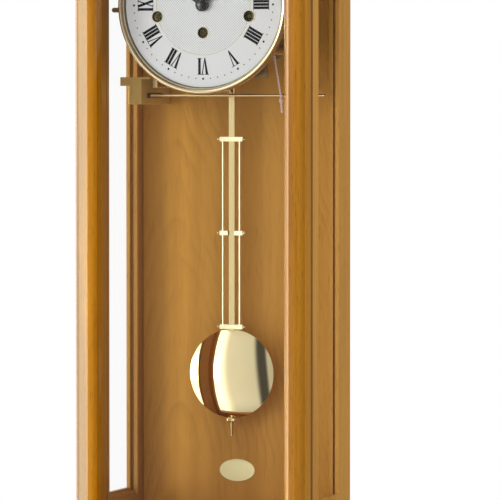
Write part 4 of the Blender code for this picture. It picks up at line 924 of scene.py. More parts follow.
def bevel(
    bm: bmesh.types.BMesh, edges: Sequence[bmesh.types.BMEdge], width: float, segments: int = 2
) -> None:
    """Rounds some edges of a shape.

    Args:
        bm: The shape.
        edges: Its edges to round.
        width: How far they are rounded.
        segments: Steps of the rounding.
    """
    bmesh.ops.bevel(
        bm,
        geom=list(edges),
        offset=width,
        offset_type="OFFSET",
        affect="EDGES",
        segments=segments,
        profile=0.5,
        clamp_overlap=True,
        material=-1,
    )


def sharp_edges(bm: bmesh.types.BMesh, limit: float = SHARP) -> list[bmesh.types.BMEdge]:
    """The edges where two faces meet at more than a limit."""
    return [e for e in bm.edges if len(e.link_faces) == 2 and e.calc_face_angle(0.0) > limit]


def cad_shape(node: str) -> bmesh.types.BMesh:
    """A welded copy of a CAD node's shape, with its flat faces made whole again.

    Args:
        node: The CAD node.

    Returns:
        The copy.
    """
    bm = bmesh.new()
    bm.from_mesh(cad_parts[node].data)
    bmesh.ops.remove_doubles(bm, verts=bm.verts, dist=WELD)
    bmesh.ops.dissolve_limit(bm, angle_limit=FLAT, verts=bm.verts, edges=bm.edges, delimit=set())
    bmesh.ops.recalc_face_normals(bm, faces=bm.faces)
    return bm


def dress(
    node: str, finish: Finish, body: str, width: float = SOFT_EDGE, segments: int = 2
) -> bpy.types.Object:
    """Shows a CAD node with softened edges.

    Args:
        node: The CAD node.
        finish: Its finish.
        body: Its body.
        width: How far the edges are rounded.
        segments: Steps of the rounding.

    Returns:
        The finished piece.
    """
    bm = cad_shape(node)
    if width:
        bevel(bm, sharp_edges(bm), width, segments)
    return show(f"{node}_fine", bm, finish, body, [node])


def box(low: Sequence[float], high: Sequence[float]) -> bmesh.types.BMesh:
    """A box between two corners.

    Args:
        low: The lesser corner, as x, out and z.
        high: The greater corner, as x, out and z.

    Returns:
        The box.
    """
    bm = bmesh.new()
    size = [b - a for a, b in zip(low, high)]
    middle = spot(*[(a + b) / 2 for a, b in zip(low, high)])
    bmesh.ops.create_cube(bm, size=1.0, matrix=Matrix.Translation(middle) @ Matrix.Diagonal((*size, 1.0)))
    return bm


def soft_box(
    low: Sequence[float], high: Sequence[float], width: float, segments: int = 2
) -> bmesh.types.BMesh:
    """A box with every edge rounded.

    Args:
        low: The lesser corner, as x, out and z.
        high: The greater corner, as x, out and z.
        width: How far the edges are rounded.
        segments: Steps of the rounding.

    Returns:
        The box.
    """
    bm = box(low, high)
    bevel(bm, bm.edges[:], width, segments)
    return bm


def turned(
    profile: Sequence[Point], origin: Vector, axis: Vector, segments: int = 48, closed: bool = False
) -> bmesh.types.BMesh:
    """Turns a profile of (radius, along) round an axis.

    Args:
        profile: The section; a closed one makes a ring.
        origin: A point on the axis.
        axis: The axis.
        segments: Steps of the turn.
        closed: Joins the last point to the first.

    Returns:
        The turned shape.
    """
    bm = bmesh.new()
    verts = [bm.verts.new((radius, 0.0, along)) for radius, along in profile]
    for first, second in zip(verts, verts[1:]):
        bm.edges.new((first, second))
    if closed:
        bm.edges.new((verts[-1], verts[0]))
    bmesh.ops.spin(
        bm,
        geom=bm.verts[:] + bm.edges[:],
        cent=(0, 0, 0),
        axis=(0, 0, 1),
        angle=math.tau,
        steps=segments,
        use_merge=True,
    )
    bmesh.ops.remove_doubles(bm, verts=bm.verts, dist=FINE_WELD)
    turn = Vector((0, 0, 1)).rotation_difference(axis).to_matrix().to_4x4()
    bmesh.ops.transform(bm, matrix=Matrix.Translation(origin) @ turn, verts=bm.verts)
    return bm


def tube(circles: Sequence[Matrix], steps: int, filled: bool = True) -> bmesh.types.BMesh:
    """Draws a circle out from place to place.

    Args:
        circles: Its places and sizes in turn, each as a change of the unit circle in x and y.
        steps: Points of the circle.
        filled: Whether the two ends are filled.

    Returns:
        The shape.
    """
    bm = bmesh.new()
    bmesh.ops.create_circle(bm, segments=steps, radius=1.0, matrix=circles[0])
    loop = bm.edges[:]
    ends = [loop]
    for here, there in zip(circles, circles[1:]):
        grown = bmesh.ops.extrude_edge_only(bm, edges=loop)["geom"]
        loop = [e for e in grown if isinstance(e, bmesh.types.BMEdge) and e.is_boundary]
        verts = [v for v in grown if isinstance(v, bmesh.types.BMVert)]
        bmesh.ops.transform(bm, matrix=there @ here.inverted(), verts=verts)
    ends.append(loop)
    if filled:
        for end in ends:
            bmesh.ops.edgeloop_fill(bm, edges=end)
    return bm


def facing(points: Sequence[Point], start: float, end: float) -> bmesh.types.BMesh:
    """An outline drawn out between two depths.

    Args:
        points: The outline in x and z.
        start: Its first distance out from the wall.
        end: Its last distance out from the wall.

    Returns:
        The solid.
    """
    bm = bmesh.new()
    face = bm.faces.new([bm.verts.new(spot(x, start, z)) for x, z in points])
    grown = bmesh.ops.extrude_face_region(bm, geom=[face])
    verts = [v for v in grown["geom"] if isinstance(v, bmesh.types.BMVert)]
    bmesh.ops.translate(bm, verts=verts, vec=spot(0, end - start, 0))
    return bm


def merged(shapes: Iterable[bmesh.types.BMesh]) -> bmesh.types.BMesh:
    """Puts several shapes into one.

    Args:
        shapes: The shapes. They are freed.

    Returns:
        All of them in one.
    """
    whole = bmesh.new()
    for bm in shapes:
        mesh = bpy.data.meshes.new("merge")
        bm.to_mesh(mesh)
        bm.free()
        whole.from_mesh(mesh)
        bpy.data.meshes.remove(mesh)
    return whole


def arc(centre: Point, radii: Point, start: float, end: float, steps: int) -> list[Point]:
    """Points of an ellipse's arc, both ends included."""
    turns = [start + (end - start) * i / steps for i in range(steps + 1)]
    return [(centre[0] + radii[0] * math.cos(t), centre[1] + radii[1] * math.sin(t)) for t in turns]


def screw_head(place: Vector, axis: Vector, radius: float, slot_turn: float) -> bmesh.types.BMesh:
    """A slotted screw head that stands on a face.

    Args:
        place: The point on the face.
        axis: The face's outward direction.
        radius: The head's radius.
        slot_turn: The slot's angle.

    Returns:
        The head.
    """
    height = radius * 0.55
    profile = [(0.0, 0.0), (radius, 0.0), (radius, height * 0.5)]
    profile += [(radius * 0.86, height * 0.86), (radius * 0.62, height), (0.0, height)]
    bm = turned(profile, Vector(), UP, 20)
    slot = radius * 0.16
    across = Vector((math.cos(slot_turn), math.sin(slot_turn), 0.0))
    for side in (-1, 1):
        geom = bm.verts[:] + bm.edges[:] + bm.faces[:]
        bmesh.ops.bisect_plane(bm, geom=geom, plane_co=across * slot * side, plane_no=across)
    floor = height * 0.45
    for vert in bm.verts:
        if vert.co.z > floor and abs(vert.co.dot(across)) <= slot + FINE_WELD:
            vert.co.z -= height * 0.4 * (1.0 - abs(vert.co.dot(across)) / (slot * 1.4))
    turn = UP.rotation_difference(axis).to_matrix().to_4x4()
    bmesh.ops.transform(bm, matrix=Matrix.Translation(place) @ turn, verts=bm.verts)
    return bm


def carve(bm: bmesh.types.BMesh, tool: bmesh.types.BMesh) -> bmesh.types.BMesh:
    """Cuts one shape out of another.

    Args:
        bm: The shape that is cut. It is freed.
        tool: The shape that is taken away. It is freed.

    Returns:
        What is left.
    """
    holders = []
    for shape in (bm, tool):
        mesh = bpy.data.meshes.new("carve")
        shape.to_mesh(mesh)
        shape.free()
        holder = bpy.data.objects.new("carve", mesh)
        bpy.context.scene.collection.objects.link(holder)
        holders.append(holder)
    body, knife = holders
    modifier = body.modifiers.new("carve", "BOOLEAN")
    modifier.operation = "DIFFERENCE"
    modifier.object = knife
    cut = body.evaluated_get(bpy.context.evaluated_depsgraph_get())
    result = bmesh.new()
    result.from_mesh(bpy.data.meshes.new_from_object(cut))
    for holder in holders:
        bpy.data.objects.remove(holder)
    return result


# Case and door
@dataclass
class Case:
    """The wooden case with its panes and fittings."""

    body: str = "case"
    edge: float = 0.0008
    leaf_thickness: float = 0.0012
    leaf_middle: float = 0.0055
    leaf_screw_pitch: float = 0.017
    leaf_screw: float = 0.0021
    foot_thickness: float = 0.002
    foot_screw_heights: Point = (0.006, 0.014)
    foot_screw_side: float = 0.006
    foot_screw: float = 0.0028

    def build(self) -> None:
        """Makes every piece of the case."""
        dress("backboard", PANEL_WOOD, self.body, self.edge)
        for node in ("top_board", "floor_board"):
            dress(node, BOARD_WOOD, self.body, self.edge)
        for node in ("cornice", "base_moulding"):
            dress(node, RAIL_WOOD, self.body, self.edge, 3)
        for hand in ("left", "right"):
            self.side(hand)
            dress(f"side_glass_{hand}", SIDE_PANE, self.body, 0.0)
        self.beads()
        self.fittings()

    def side(self, hand: str) -> None:
        """A side frame, with its wood outside, and a darker copy of that wood inside and round its window as
        painted shade.

        Args:
            hand: Left or right.
        """
        node = f"side_frame_{hand}"
        low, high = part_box(node)
        pane, inward = middle_of(f"side_glass_{hand}").x, 1.0 if hand == "left" else -1.0
        bm = cad_shape(node)
        bevel(bm, sharp_edges(bm), self.edge, 3)
        for face in bm.faces:
            centre = face.calc_center_median()
            border = min(centre.y - low.y, high.y - centre.y, centre.z - low.z, high.z - centre.z)
            within = border > self.edge and ((centre.x - pane) * inward > 0.0 or abs(face.normal.x) < 0.5)
            face.material_index = 1 if within else 0
        show(f"{node}_fine", bm, SIDE_WOOD, self.body, [node], [SHADED_INNER_WOOD])

    def beads(self) -> None:
        """The strips nailed over the edges of the side panes, the rear one thicker."""
        wide, lap, thin, thick = 0.005, 0.002, 0.0008, 0.0048
        for hand, sign in (("left", 1), ("right", -1)):
            low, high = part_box(f"side_glass_{hand}")
            seat = (high.x if sign > 0 else low.x) + sign * SEAT
            foot, head = low.z - lap, high.z + lap
            rear, front = -high.y - lap, -low.y + lap
            layout = (
                (rear, rear + wide, foot, head, thick),
                (front - wide, front, foot, head, thin),
                (rear + wide + SEAT, front - wide - SEAT, foot, foot + wide, thin),
                (rear + wide + SEAT, front - wide - SEAT, head - wide, head, thin),
            )
            strips = []
            for out, far, z, top, proud in layout:
                sides = sorted((seat, seat + sign * proud))
                strips.append(soft_box((sides[0], out, z), (sides[1], far, top), SOFT_EDGE, 3))
            show(f"side_beads_{hand}", merged(strips), SHADED_INNER_WOOD, self.body)

    def fittings(self) -> None:
        """Hinges, catch, hanging plate, and the bare oval plate."""
        for end in ("upper", "lower"):
            dress(f"case_hinge_{end}", BRASS, self.body, FINE_EDGE)
        dress("door_catch", CATCH_BLACK, self.body, self.edge, 3)
        dress("hanger_plate", STEEL, self.body)
        self.oval()
        self.screws()

    def oval(self) -> None:
        """The oval plate with a fine raised border."""
        low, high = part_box("oval_plate")
        centre = middle_of("oval_plate")
        half_w = (high.x - low.x) / 2
        half_h = (high.z - low.z) / 2
        seat, face = -high.y, -low.y
        upright = Matrix.Rotation(math.pi / 2, 4, "X")
        rings = [
            (0.0, seat), (0.0, face - 0.0002), (0.0003, face), (0.0012, face),
            (0.0015, face - 0.00015), (0.0022, face - 0.00015), (0.0025, face - 0.00005),
        ]
        circles = []
        for inset, out in rings:
            size = Matrix.Diagonal((half_w - inset, half_h - inset, 1.0, 1.0))
            circles.append(Matrix.Translation(spot(centre.x, out, centre.z)) @ upright @ size)
        show("oval_plate_fine", tube(circles, 96), LABEL, self.body, ["oval_plate"])

    def screws(self) -> None:
        """Screws of the hinge leaves and of the movement's brackets."""
        heads = []
        for end in ("upper", "lower"):
            _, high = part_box(f"case_hinge_{end}")
            z = middle_of(f"case_hinge_{end}").z
            x, y = high.x - self.leaf_thickness, high.y - self.leaf_middle
            for i in range(3):
                place = Vector((x, y, z + (i - 1) * self.leaf_screw_pitch))
                heads.append(screw_head(place, -RIGHT, self.leaf_screw, 0.4 + i))
        show("hinge_screws", merged(heads), BRASS, self.body)
        heads = []
        for hand in ("left", "right"):
            low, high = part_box(f"movement_bracket_{hand}")
            x, face = middle_of(f"movement_bracket_{hand}").x, high.y - self.foot_thickness
            outward = -1 if hand == "left" else 1
            for i, height in enumerate(self.foot_screw_heights):
                for side, turn in ((outward, 0.9), (-outward, 0.2)):
                    place = Vector((x + side * self.foot_screw_side, face, low.z + height))
                    heads.append(screw_head(place, FORWARD, self.foot_screw, turn + i))
        show("bracket_screws", merged(heads), DULL_BRASS, self.body)


@dataclass
class Door:
    """The glazed door, which swings on the left."""

    body: str = "door"
    edge: float = 0.0005
    shoulder: float = 0.018
    fullness: float = 1.125
    roundness: float = 0.0045

    def build(self) -> None:
        """Makes every piece of the door."""
        self.length("door_stile_left", STILE_WOOD, RIGHT, UP)
        self.length("door_stile_right", STILE_WOOD, -RIGHT, UP)
        self.length("door_top_rail", LATH_WOOD, -UP, RIGHT)
        self.length("door_bottom_rail", LATH_WOOD, UP, RIGHT)
        dress("door_glass", GLASS, self.body, 0.0)
        for end in ("upper", "lower"):
            dress(f"door_hinge_{end}", BRASS, self.body, FINE_EDGE)
        self.stops()

    def length(self, node: str, finish: Finish, inward: Vector, along: Vector) -> None:
        """A mitred length of the frame, its crown drawn towards the glass as the photograph shows it.

        Args:
            node: The CAD node.
            finish: Its finish.
            inward: The direction towards the glass.
            along: The direction of its length.
        """
        bm = cad_shape(node)
        low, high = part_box(node)
        back, centre = -high.y, middle_of(node)
        outer = min(corner.dot(inward) for corner in (low, high))
        crown = max(-v.co.y for v in bm.verts)
        reach = max(v.co.dot(inward) for v in bm.verts if -v.co.y > crown - TOUCH) - outer
        for vert in bm.verts:
            inset = vert.co.dot(inward) - outer
            if -vert.co.y - back > self.shoulder - SEAT and inset < reach + SEAT:
                shift = inset * (self.fullness - 1.0)
                end = 1.0 if (vert.co - centre).dot(along) < 0.0 else -1.0
                vert.co += inward * shift + along * (end * shift)
        ridge = [e for e in bm.edges if all(-v.co.y > crown - TOUCH for v in e.verts)]
        bevel(bm, ridge, self.roundness, 6)
        bevel(bm, sharp_edges(bm), self.edge)
        show(f"{node}_fine", bm, finish, self.body, [node])

    def stops(self) -> None:
        """Small brass points that hold the pane in its rebate, from behind."""
        low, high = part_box("door_glass")
        from_end, wide, half_tall, ease = 0.12, 0.004, 0.005, 0.0001
        rear, front = -high.y - 0.0004, -high.y - 0.0001
        points = []
        for z in (low.z + from_end, middle_of("door_glass").z, high.z - from_end):
            for x, sign in ((low.x, 1), (high.x, -1)):
                near, far = sorted((x, x + sign * wide))
                points.append(soft_box((near, rear, z - half_tall), (far, front, z + half_tall), ease))
        show("pane_points", merged(points), BRASS, self.body)


# Dial and hands
TRAINS = ("time", "strike", "chime")
WINDING = tuple((place.x, place.z) for place in (middle_of(f"{name}_winding_arbor") for name in TRAINS))


@dataclass
class Dial:
    """The dial with its printing, the rings of its holes and its bezel."""

    body: str = "case"
    face_out: float = front_of("dial_plate")
    numeral_foot: float = 0.0602
    numeral_height: float = 0.0188
    dot_circle: float = 0.0836
    hour_dot: float = 0.00125
    minute_dot: float = 0.00072
    print_foot: float = 0.00002
    print_top: float = 0.00014
    dot_shoulder: float = 0.00016
    dot_top: float = 0.0002

    def build(self) -> None:
        """Makes every piece of the dial."""
        self.plate()
        self.numerals()
        self.dots()
        self.hole_rings()
        self.bezel()

    def plate(self) -> None:
        """The plate, printed on its front only."""
        bm = cad_shape("dial_plate")
        for face in bm.faces:
            front = face.normal.y < -0.9 and face.calc_center_median().y < -self.face_out + SEAT
            face.material_index = 0 if front else 1
        show("dial_plate_fine", bm, DIAL_FACE, self.body, ["dial_plate"], [STEEL])

    def stroke(self, start: Point, end: Point, foot: float, head: float) -> list[Point]:
        """One stroke of a numeral: a bar with level ends.

        Args:
            start: The middle of its foot.
            end: The middle of its head.
            foot: Half its width at the foot.
            head: Half its width at the head.

        Returns:
            Its outline.
        """
        return [
            (start[0] - foot, start[1]), (start[0] + foot, start[1]),
            (end[0] + head, end[1]), (end[0] - head, end[1]),
        ]

    def letters(self, text: str) -> list[list[Point]]:
        """The strokes of a Roman numeral, centred across, from its foot up.

        Args:
            text: The numeral.

        Returns:
            Outlines as (across, up).
        """
        tall = self.numeral_height
        thick, thin, serif = 0.00150, 0.00062, 0.0007
        widths = {"I": 0.0037, "V": 0.0088, "X": 0.0094}
        total = sum(widths[c] for c in text)
        cursor = -total / 2
        strokes: list[list[Point]] = []
        for c in text:
            middle = cursor + widths[c] / 2
            reach = widths[c] / 2 - thick
            if c == "I":
                strokes.append(self.stroke((middle, 0), (middle, tall), thick, thick))
                feet = [(middle, 0.0), (middle, tall)]
            elif c == "V":
                strokes.append(self.stroke((middle, 0), (middle - reach, tall), thick * 0.5, thick))
                strokes.append(self.stroke((middle, 0), (middle + reach, tall), thin * 0.5, thin))
                feet = [(middle - reach, tall), (middle + reach, tall)]
            else:
                strokes.append(self.stroke((middle + reach, 0), (middle - reach, tall), thick, thick))
                strokes.append(self.stroke((middle - reach, 0), (middle + reach, tall), thin, thin))
                feet = [(middle + side * reach, z) for side in (-1, 1) for z in (0.0, tall)]
            for x, z in feet:
                base = z if z == 0.0 else z - serif
                wide, top = thick * 1.65, base + serif
                strokes.append([(x - wide, base), (x + wide, base), (x + wide, top), (x - wide, top)])
            cursor += widths[c]
        return strokes

    def numerals(self) -> None:
        """Twelve Roman numerals with their feet to the centre."""
        names = ("I", "II", "III", "IIII", "V", "VI", "VII", "VIII", "IX", "X", "XI", "XII")
        foot, top = self.face_out + self.print_foot, self.face_out + self.print_top
        shapes = []
        for hour, text in enumerate(names, start=1):
            turn = math.tau * hour / 12
            outward = Vector((math.sin(turn), math.cos(turn)))
            across = Vector((math.cos(turn), -math.sin(turn)))
            for outline in self.letters(text):
                points = [tuple(outward * (self.numeral_foot + v) + across * u) for u, v in outline]
                shapes.append(facing(points, foot, top))
        show("dial_numerals", merged(shapes), INK, self.body)

    def dots(self) -> None:
        """A dot for each minute, larger at the hours."""
        shapes = []
        for minute in range(60):
            turn = math.tau * minute / 60
            radius = self.hour_dot if minute % 5 == 0 else self.minute_dot
            place = spot(self.dot_circle * math.sin(turn), self.face_out, self.dot_circle * math.cos(turn))
            profile = [(0.0, self.print_foot), (radius, self.print_foot)]
            profile += [(radius * 0.8, self.dot_shoulder), (0.0, self.dot_top)]
            shapes.append(turned(profile, place, FORWARD, 14))
        show("dial_dots", merged(shapes), INK, self.body)

    def hole_rings(self) -> None:
        """The pale eyelets of the winding holes, each round a bush of near-black bronze that paints the shade
        inside the hole.
        """
        rings, bushes = [], []
        for x, z in WINDING:
            place = spot(x, self.face_out, z)
            ring = [(0.0064, 0.00005), (0.0064, 0.0006), (0.0069, 0.0008)]
            ring += [(0.0075, 0.0005), (0.0077, 0.00005)]
            rings.append(turned(ring, place, FORWARD, 48, closed=True))
            bush = [(0.0042, -0.0012), (0.0042, -0.0002), (0.0052, 0.0003), (0.0063, 0.0004)]
            bush += [(0.0063, 0.00005), (0.0053, 0.00005), (0.0050, -0.0012)]
            bushes.append(turned(bush, place, FORWARD, 48, closed=True))
        show("dial_eyelets", merged(rings), RING_WHITE, self.body)
        show("dial_bushes", merged(bushes), SHADED_BRONZE, self.body)

    def bezel(self) -> None:
        """The polished ring round the dial, with a thin dark ring inside it as painted shadow in the gap
        between bezel and dial.
        """
        low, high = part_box("bezel")
        back, crest = -high.y, -low.y
        seat, outer, inner, grip = self.face_out + SEAT, 0.1014, 0.0945, 0.0989
        section = [(grip, back), (outer, back), (outer, crest - 0.0042)]
        section += arc((outer - 0.0026, crest - 0.0042), (0.0026, 0.0041), 0.0, math.pi / 2, 12)[1:]
        section += arc((outer - 0.0026, crest - 0.0048), (0.0043, 0.0047), math.pi / 2, math.pi, 14)[1:]
        section += [(inner, seat + 0.0014), (inner, seat), (grip, seat)]
        ring = turned(section, Vector(), FORWARD, 160, closed=True)
        show("bezel_fine", ring, BEZEL_BRASS, self.body, ["bezel"])
        # A dark steel ring as painted shadow where the bezel meets the dial.
        shadow_ring = [(0.0932, self.face_out + 0.0001), (0.0944, self.face_out + 0.0001)]
        shadow_ring += [(0.0944, seat + 0.0016), (0.0940, seat + 0.0016)]
        show("bezel_painted_shadow", turned(shadow_ring, Vector(), FORWARD, 160, closed=True), BLUED_STEEL, self.body)


@dataclass
class Hands:
    """Both hands with their domed boss."""

    def build(self) -> None:
        """Makes the hands."""
        dress("hour_hand", HAND_BLACK, "hour", FINE_EDGE)
        dress("minute_hand", HAND_BLACK, "centre", FINE_EDGE)
        seat, radius = front_of("minute_hand"), 0.0074
        dome = [(0.0045, 0.00005), (radius, 0.00005), (radius, 0.0004)]
        dome += arc((0.0, -0.0012), (radius, 0.0036), 0.46, 0.92, 8)
        dome += [(0.0045, 0.0014)]
        show("minute_boss", turned(dome, spot(0, seat, 0), FORWARD, 64, closed=True), HAND_BLACK, "centre")
        low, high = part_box("hand_nut")
        start, end = -high.y, -low.y
        cap = [(0.0, end + 0.0006), (0.00262, end - 0.0003), (0.00262, start), (0.0041, start)]
        cap += [(0.0042, start + 0.0004), (0.0042, end - 0.0010)]
        cap += arc((0.0, end - 0.0010), (0.0042, 0.0020), 0.0, math.pi / 2, 14)[1:-1]
        cap += [(0.0, end + 0.0010)]
        show("hand_nut_fine", turned(cap, Vector(), FORWARD, 48), HAND_BLACK, "centre", ["hand_nut"])


# Movement
@dataclass
class Movement:
    """The brass movement behind the dial."""

    front_face: float = front_of("front_plate")
    barrel_edge: float = 0.00015
    wheel_edge: float = 0.00008
    pallet_edge: float = 0.0001
    washer_height: float = 0.0009
    pillar_screw: float = 0.0034
    click_screw: float = 0.0017
    click_top: float = 0.0022
    click_pivot: Point = (0.0125, -0.0035)
    click_tip: Point = (0.0094, 0.0006)
    click_round: float = 0.0024
    click_nose: float = 0.0012
    pillars: tuple[Point, ...] = (
        (-0.058, 0.052), (0.058, 0.052), (-0.064, -0.046), (0.064, -0.052), (0.0275, -0.052)
    )

    def build(self) -> None:
        """Makes every piece of the movement."""
        for node in ("front_plate", "back_plate"):
            dress(node, PLATE_BRASS, "case", FINE_EDGE, 1)
        for hand in ("left", "right"):
            dress(f"movement_bracket_{hand}", DULL_BRASS, "case")
        for name in TRAINS:
            dress(f"{name}_barrel", WHEEL_BRASS, f"{name}_drum", self.barrel_edge, 1)
            dress(f"{name}_winding_arbor", SHADED_BRONZE, f"{name}_winding", FINE_EDGE, 1)
        wheels = (
            ("centre_wheel", "centre"), ("third_wheel", "third"), ("escape_wheel", "escape"),
            ("minute_wheel", "minute"), ("hour_wheel", "hour"),
        )
        for node, body in wheels:
            dress(node, WHEEL_BRASS, body, self.wheel_edge, 1)
        dress("silent_lever", DULL_BRASS, "lever")
        dress("suspension_post", WHEEL_BRASS, "case")
        dress("anchor", STEEL, "pendulum", self.pallet_edge, 1)
        self.screws()
        self.clicks()

    def screws(self) -> None:
        """The screws of the pillars, with their washers."""
        heads = []
        for i, (x, z) in enumerate(self.pillars):
            top = self.washer_height
            washer = [(0.0, 0.0001), (0.0046, 0.0001), (0.0046, 0.0007), (0.0042, top), (0.0, top)]
            heads.append(turned(washer, spot(x, self.front_face, z), FORWARD, 28))
            heads.append(screw_head(spot(x, self.front_face + top, z), FORWARD, self.pillar_screw, 0.7 * i))
        show("pillar_screws", merged(heads), STEEL, "case")

    def clicks(self) -> None:
        """The pawl beside each ratchet, with its screw."""
        pawls, heads = [], []
        start, end = self.front_face + SEAT, self.front_face + self.click_top
        for x, z in WINDING:
            pivot = (x + self.click_pivot[0], z + self.click_pivot[1])
            tip = (x + self.click_tip[0], z + self.click_tip[1])
            outline = arc(pivot, (self.click_round,) * 2, -math.pi * 0.9, math.pi * 0.25, 12)
            outline += [(tip[0] + self.click_nose, tip[1] + self.click_nose), tip]
            pawls.append(facing(outline, start, end))
            heads.append(screw_head(spot(pivot[0], end, pivot[1]), FORWARD, self.click_screw, z * 40))
        show("click_pawls", merged(pawls), STEEL, "case")
        show("click_screws", merged(heads), BLUED_STEEL, "case")


# Pendulum
@dataclass
class Pendulum:
    """The rod with its grid of bars, and the lens-shaped bob."""

    out: float = -middle_of("pendulum_rod").y
    bob_z: float = middle_of("bob").z
    bob_radius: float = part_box("bob")[1].x
    bob_half: float = front_of("bob") + middle_of("bob").y
    bob_rim: float = 0.0011
    rod_edge: float = 0.0004
    slot_half: Point = (0.0039, 0.0019)
    slot_reach: float = 0.08
    thread_foot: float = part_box("pendulum_rod")[0].z + 0.0005
    thread_head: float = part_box("rating_nut")[0].z - SEAT
    thread_pitch: float = 0.0007
    thread_core: float = 0.00152
    thread_crest: float = 0.00164

    def build(self) -> None:
        """Makes every piece of the pendulum."""
        dress("pendulum_leader", ROD_BRASS, "pendulum", FINE_EDGE, 1)
        dress("pendulum_rod", ROD_BRASS, "pendulum", self.rod_edge)
        dress("pendulum_grid", BAR_BRASS, "pendulum")
        self.bob()
        self.nut()
        self.thread()

    def bob(self) -> None:
        """The polished lens, open at top and bottom for the rod."""
        rise = self.bob_half - self.bob_rim
        sphere = (self.bob_radius**2 + rise**2) / (2 * rise)
        spread = math.asin(self.bob_radius / sphere)
        face = arc((0.0, 0.0), (sphere, sphere), math.pi / 2 - spread, math.pi / 2, 40)
        front = [(max(r, 0.0), along - sphere + self.bob_half) for r, along in face]
        front[-1] = (0.0, front[-1][1])
        profile = [(r, -along) for r, along in reversed(front)] + front
        lens = turned(profile, spot(0, self.out, self.bob_z), FORWARD, 144)
        wide, deep = self.slot_half
        slot = box(
            (-wide, self.out - deep, self.bob_z - self.slot_reach),
            (wide, self.out + deep, self.bob_z + self.slot_reach),
        )
        show("bob_fine", carve(lens, slot), BOB_BRASS, "bob", ["bob"])

    def nut(self) -> None:
        """The rating nut with a fluted rim."""
        low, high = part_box("rating_nut")
        bore, land, rim, slope, flute = 0.0018, 0.0046, 0.0056, 0.0007, 0.0003
        section = [(bore, low.z), (land, low.z), (rim, low.z + slope)]
        section += [(rim, high.z - slope), (land, high.z), (bore, high.z)]
        circles = [
            Matrix.Translation(spot(0, self.out, z)) @ Matrix.Diagonal((radius, radius, 1.0, 1.0))
            for radius, z in section
        ]
        steps = 96
        bm = tube(circles + circles[:1], steps, filled=False)
        on_rim = [v for v in bm.verts if low.z + SEAT < v.co.z < high.z - SEAT]
        places = [math.atan2(v.co.y + self.out, v.co.x) * steps / math.tau for v in on_rim]
        crests = [v for v, place in zip(on_rim, places) if round(place) % 2]
        grown = (rim + flute) / rim
        to_axis = Matrix.Translation((0.0, self.out, 0.0))
        bmesh.ops.scale(bm, vec=(grown, grown, 1.0), space=to_axis, verts=crests)
        show("rating_nut_fine", bm, ROD_BRASS, "rating_nut", ["rating_nut"])

    def thread(self) -> None:
        """The ridges of the thread on the stud below the nut."""
        profile: list[Point] = []
        z = self.thread_foot
        while z < self.thread_head:
            profile += [(self.thread_core, z), (self.thread_crest, z + self.thread_pitch / 2)]
            z += self.thread_pitch
        section = [(0.0, self.thread_foot - SEAT)] + profile + [(self.thread_core, z), (0.0, z)]
        show("stud_thread", turned(section, spot(0, self.out, 0), UP, 24), ROD_BRASS, "pendulum")


# Gong
@dataclass
class Gong:
    """The gong block, its rods and the hammers."""

    letters: tuple[str, ...] = ("a", "b", "c", "d")
    block_edge: float = 0.0005

    def build(self) -> None:
        """Makes every piece of the gong."""
        dress("gong_block", GILT, "case", self.block_edge, 3)
        dress("hammer_shaft", STEEL, "case", FINE_EDGE)
        for number, letter in enumerate(self.letters, start=1):
            self.rod(f"gong_rod_{number}")
            dress(f"hammer_{number}", ROD_BRASS, f"hammer_{letter}")

    def rod(self, node: str) -> None:
        """A rod with a dark collar at the block.

        Args:
            node: The CAD node.
        """
        low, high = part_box(node)
        centre, length = middle_of(node), high.x - low.x
        collar, radius, dark_end = 0.0032, 0.0015, 0.0045
        profile = [(0.0, 0.0), (collar - 0.0003, 0.0), (collar, 0.0003), (collar, 0.0029), (0.0024, 0.0041)]
        profile += [(radius, 0.0060), (radius, length - 0.0004), (radius - 0.0004, length), (0.0, length)]
        bm = turned(profile, Vector((low.x, centre.y, centre.z)), RIGHT, 20)
        for face in bm.faces:
            face.material_index = 1 if face.calc_center_median().x < low.x + dark_end else 0
        show(f"{node}_fine", bm, ROD_STEEL, "case", [node], [BLUED_STEEL])


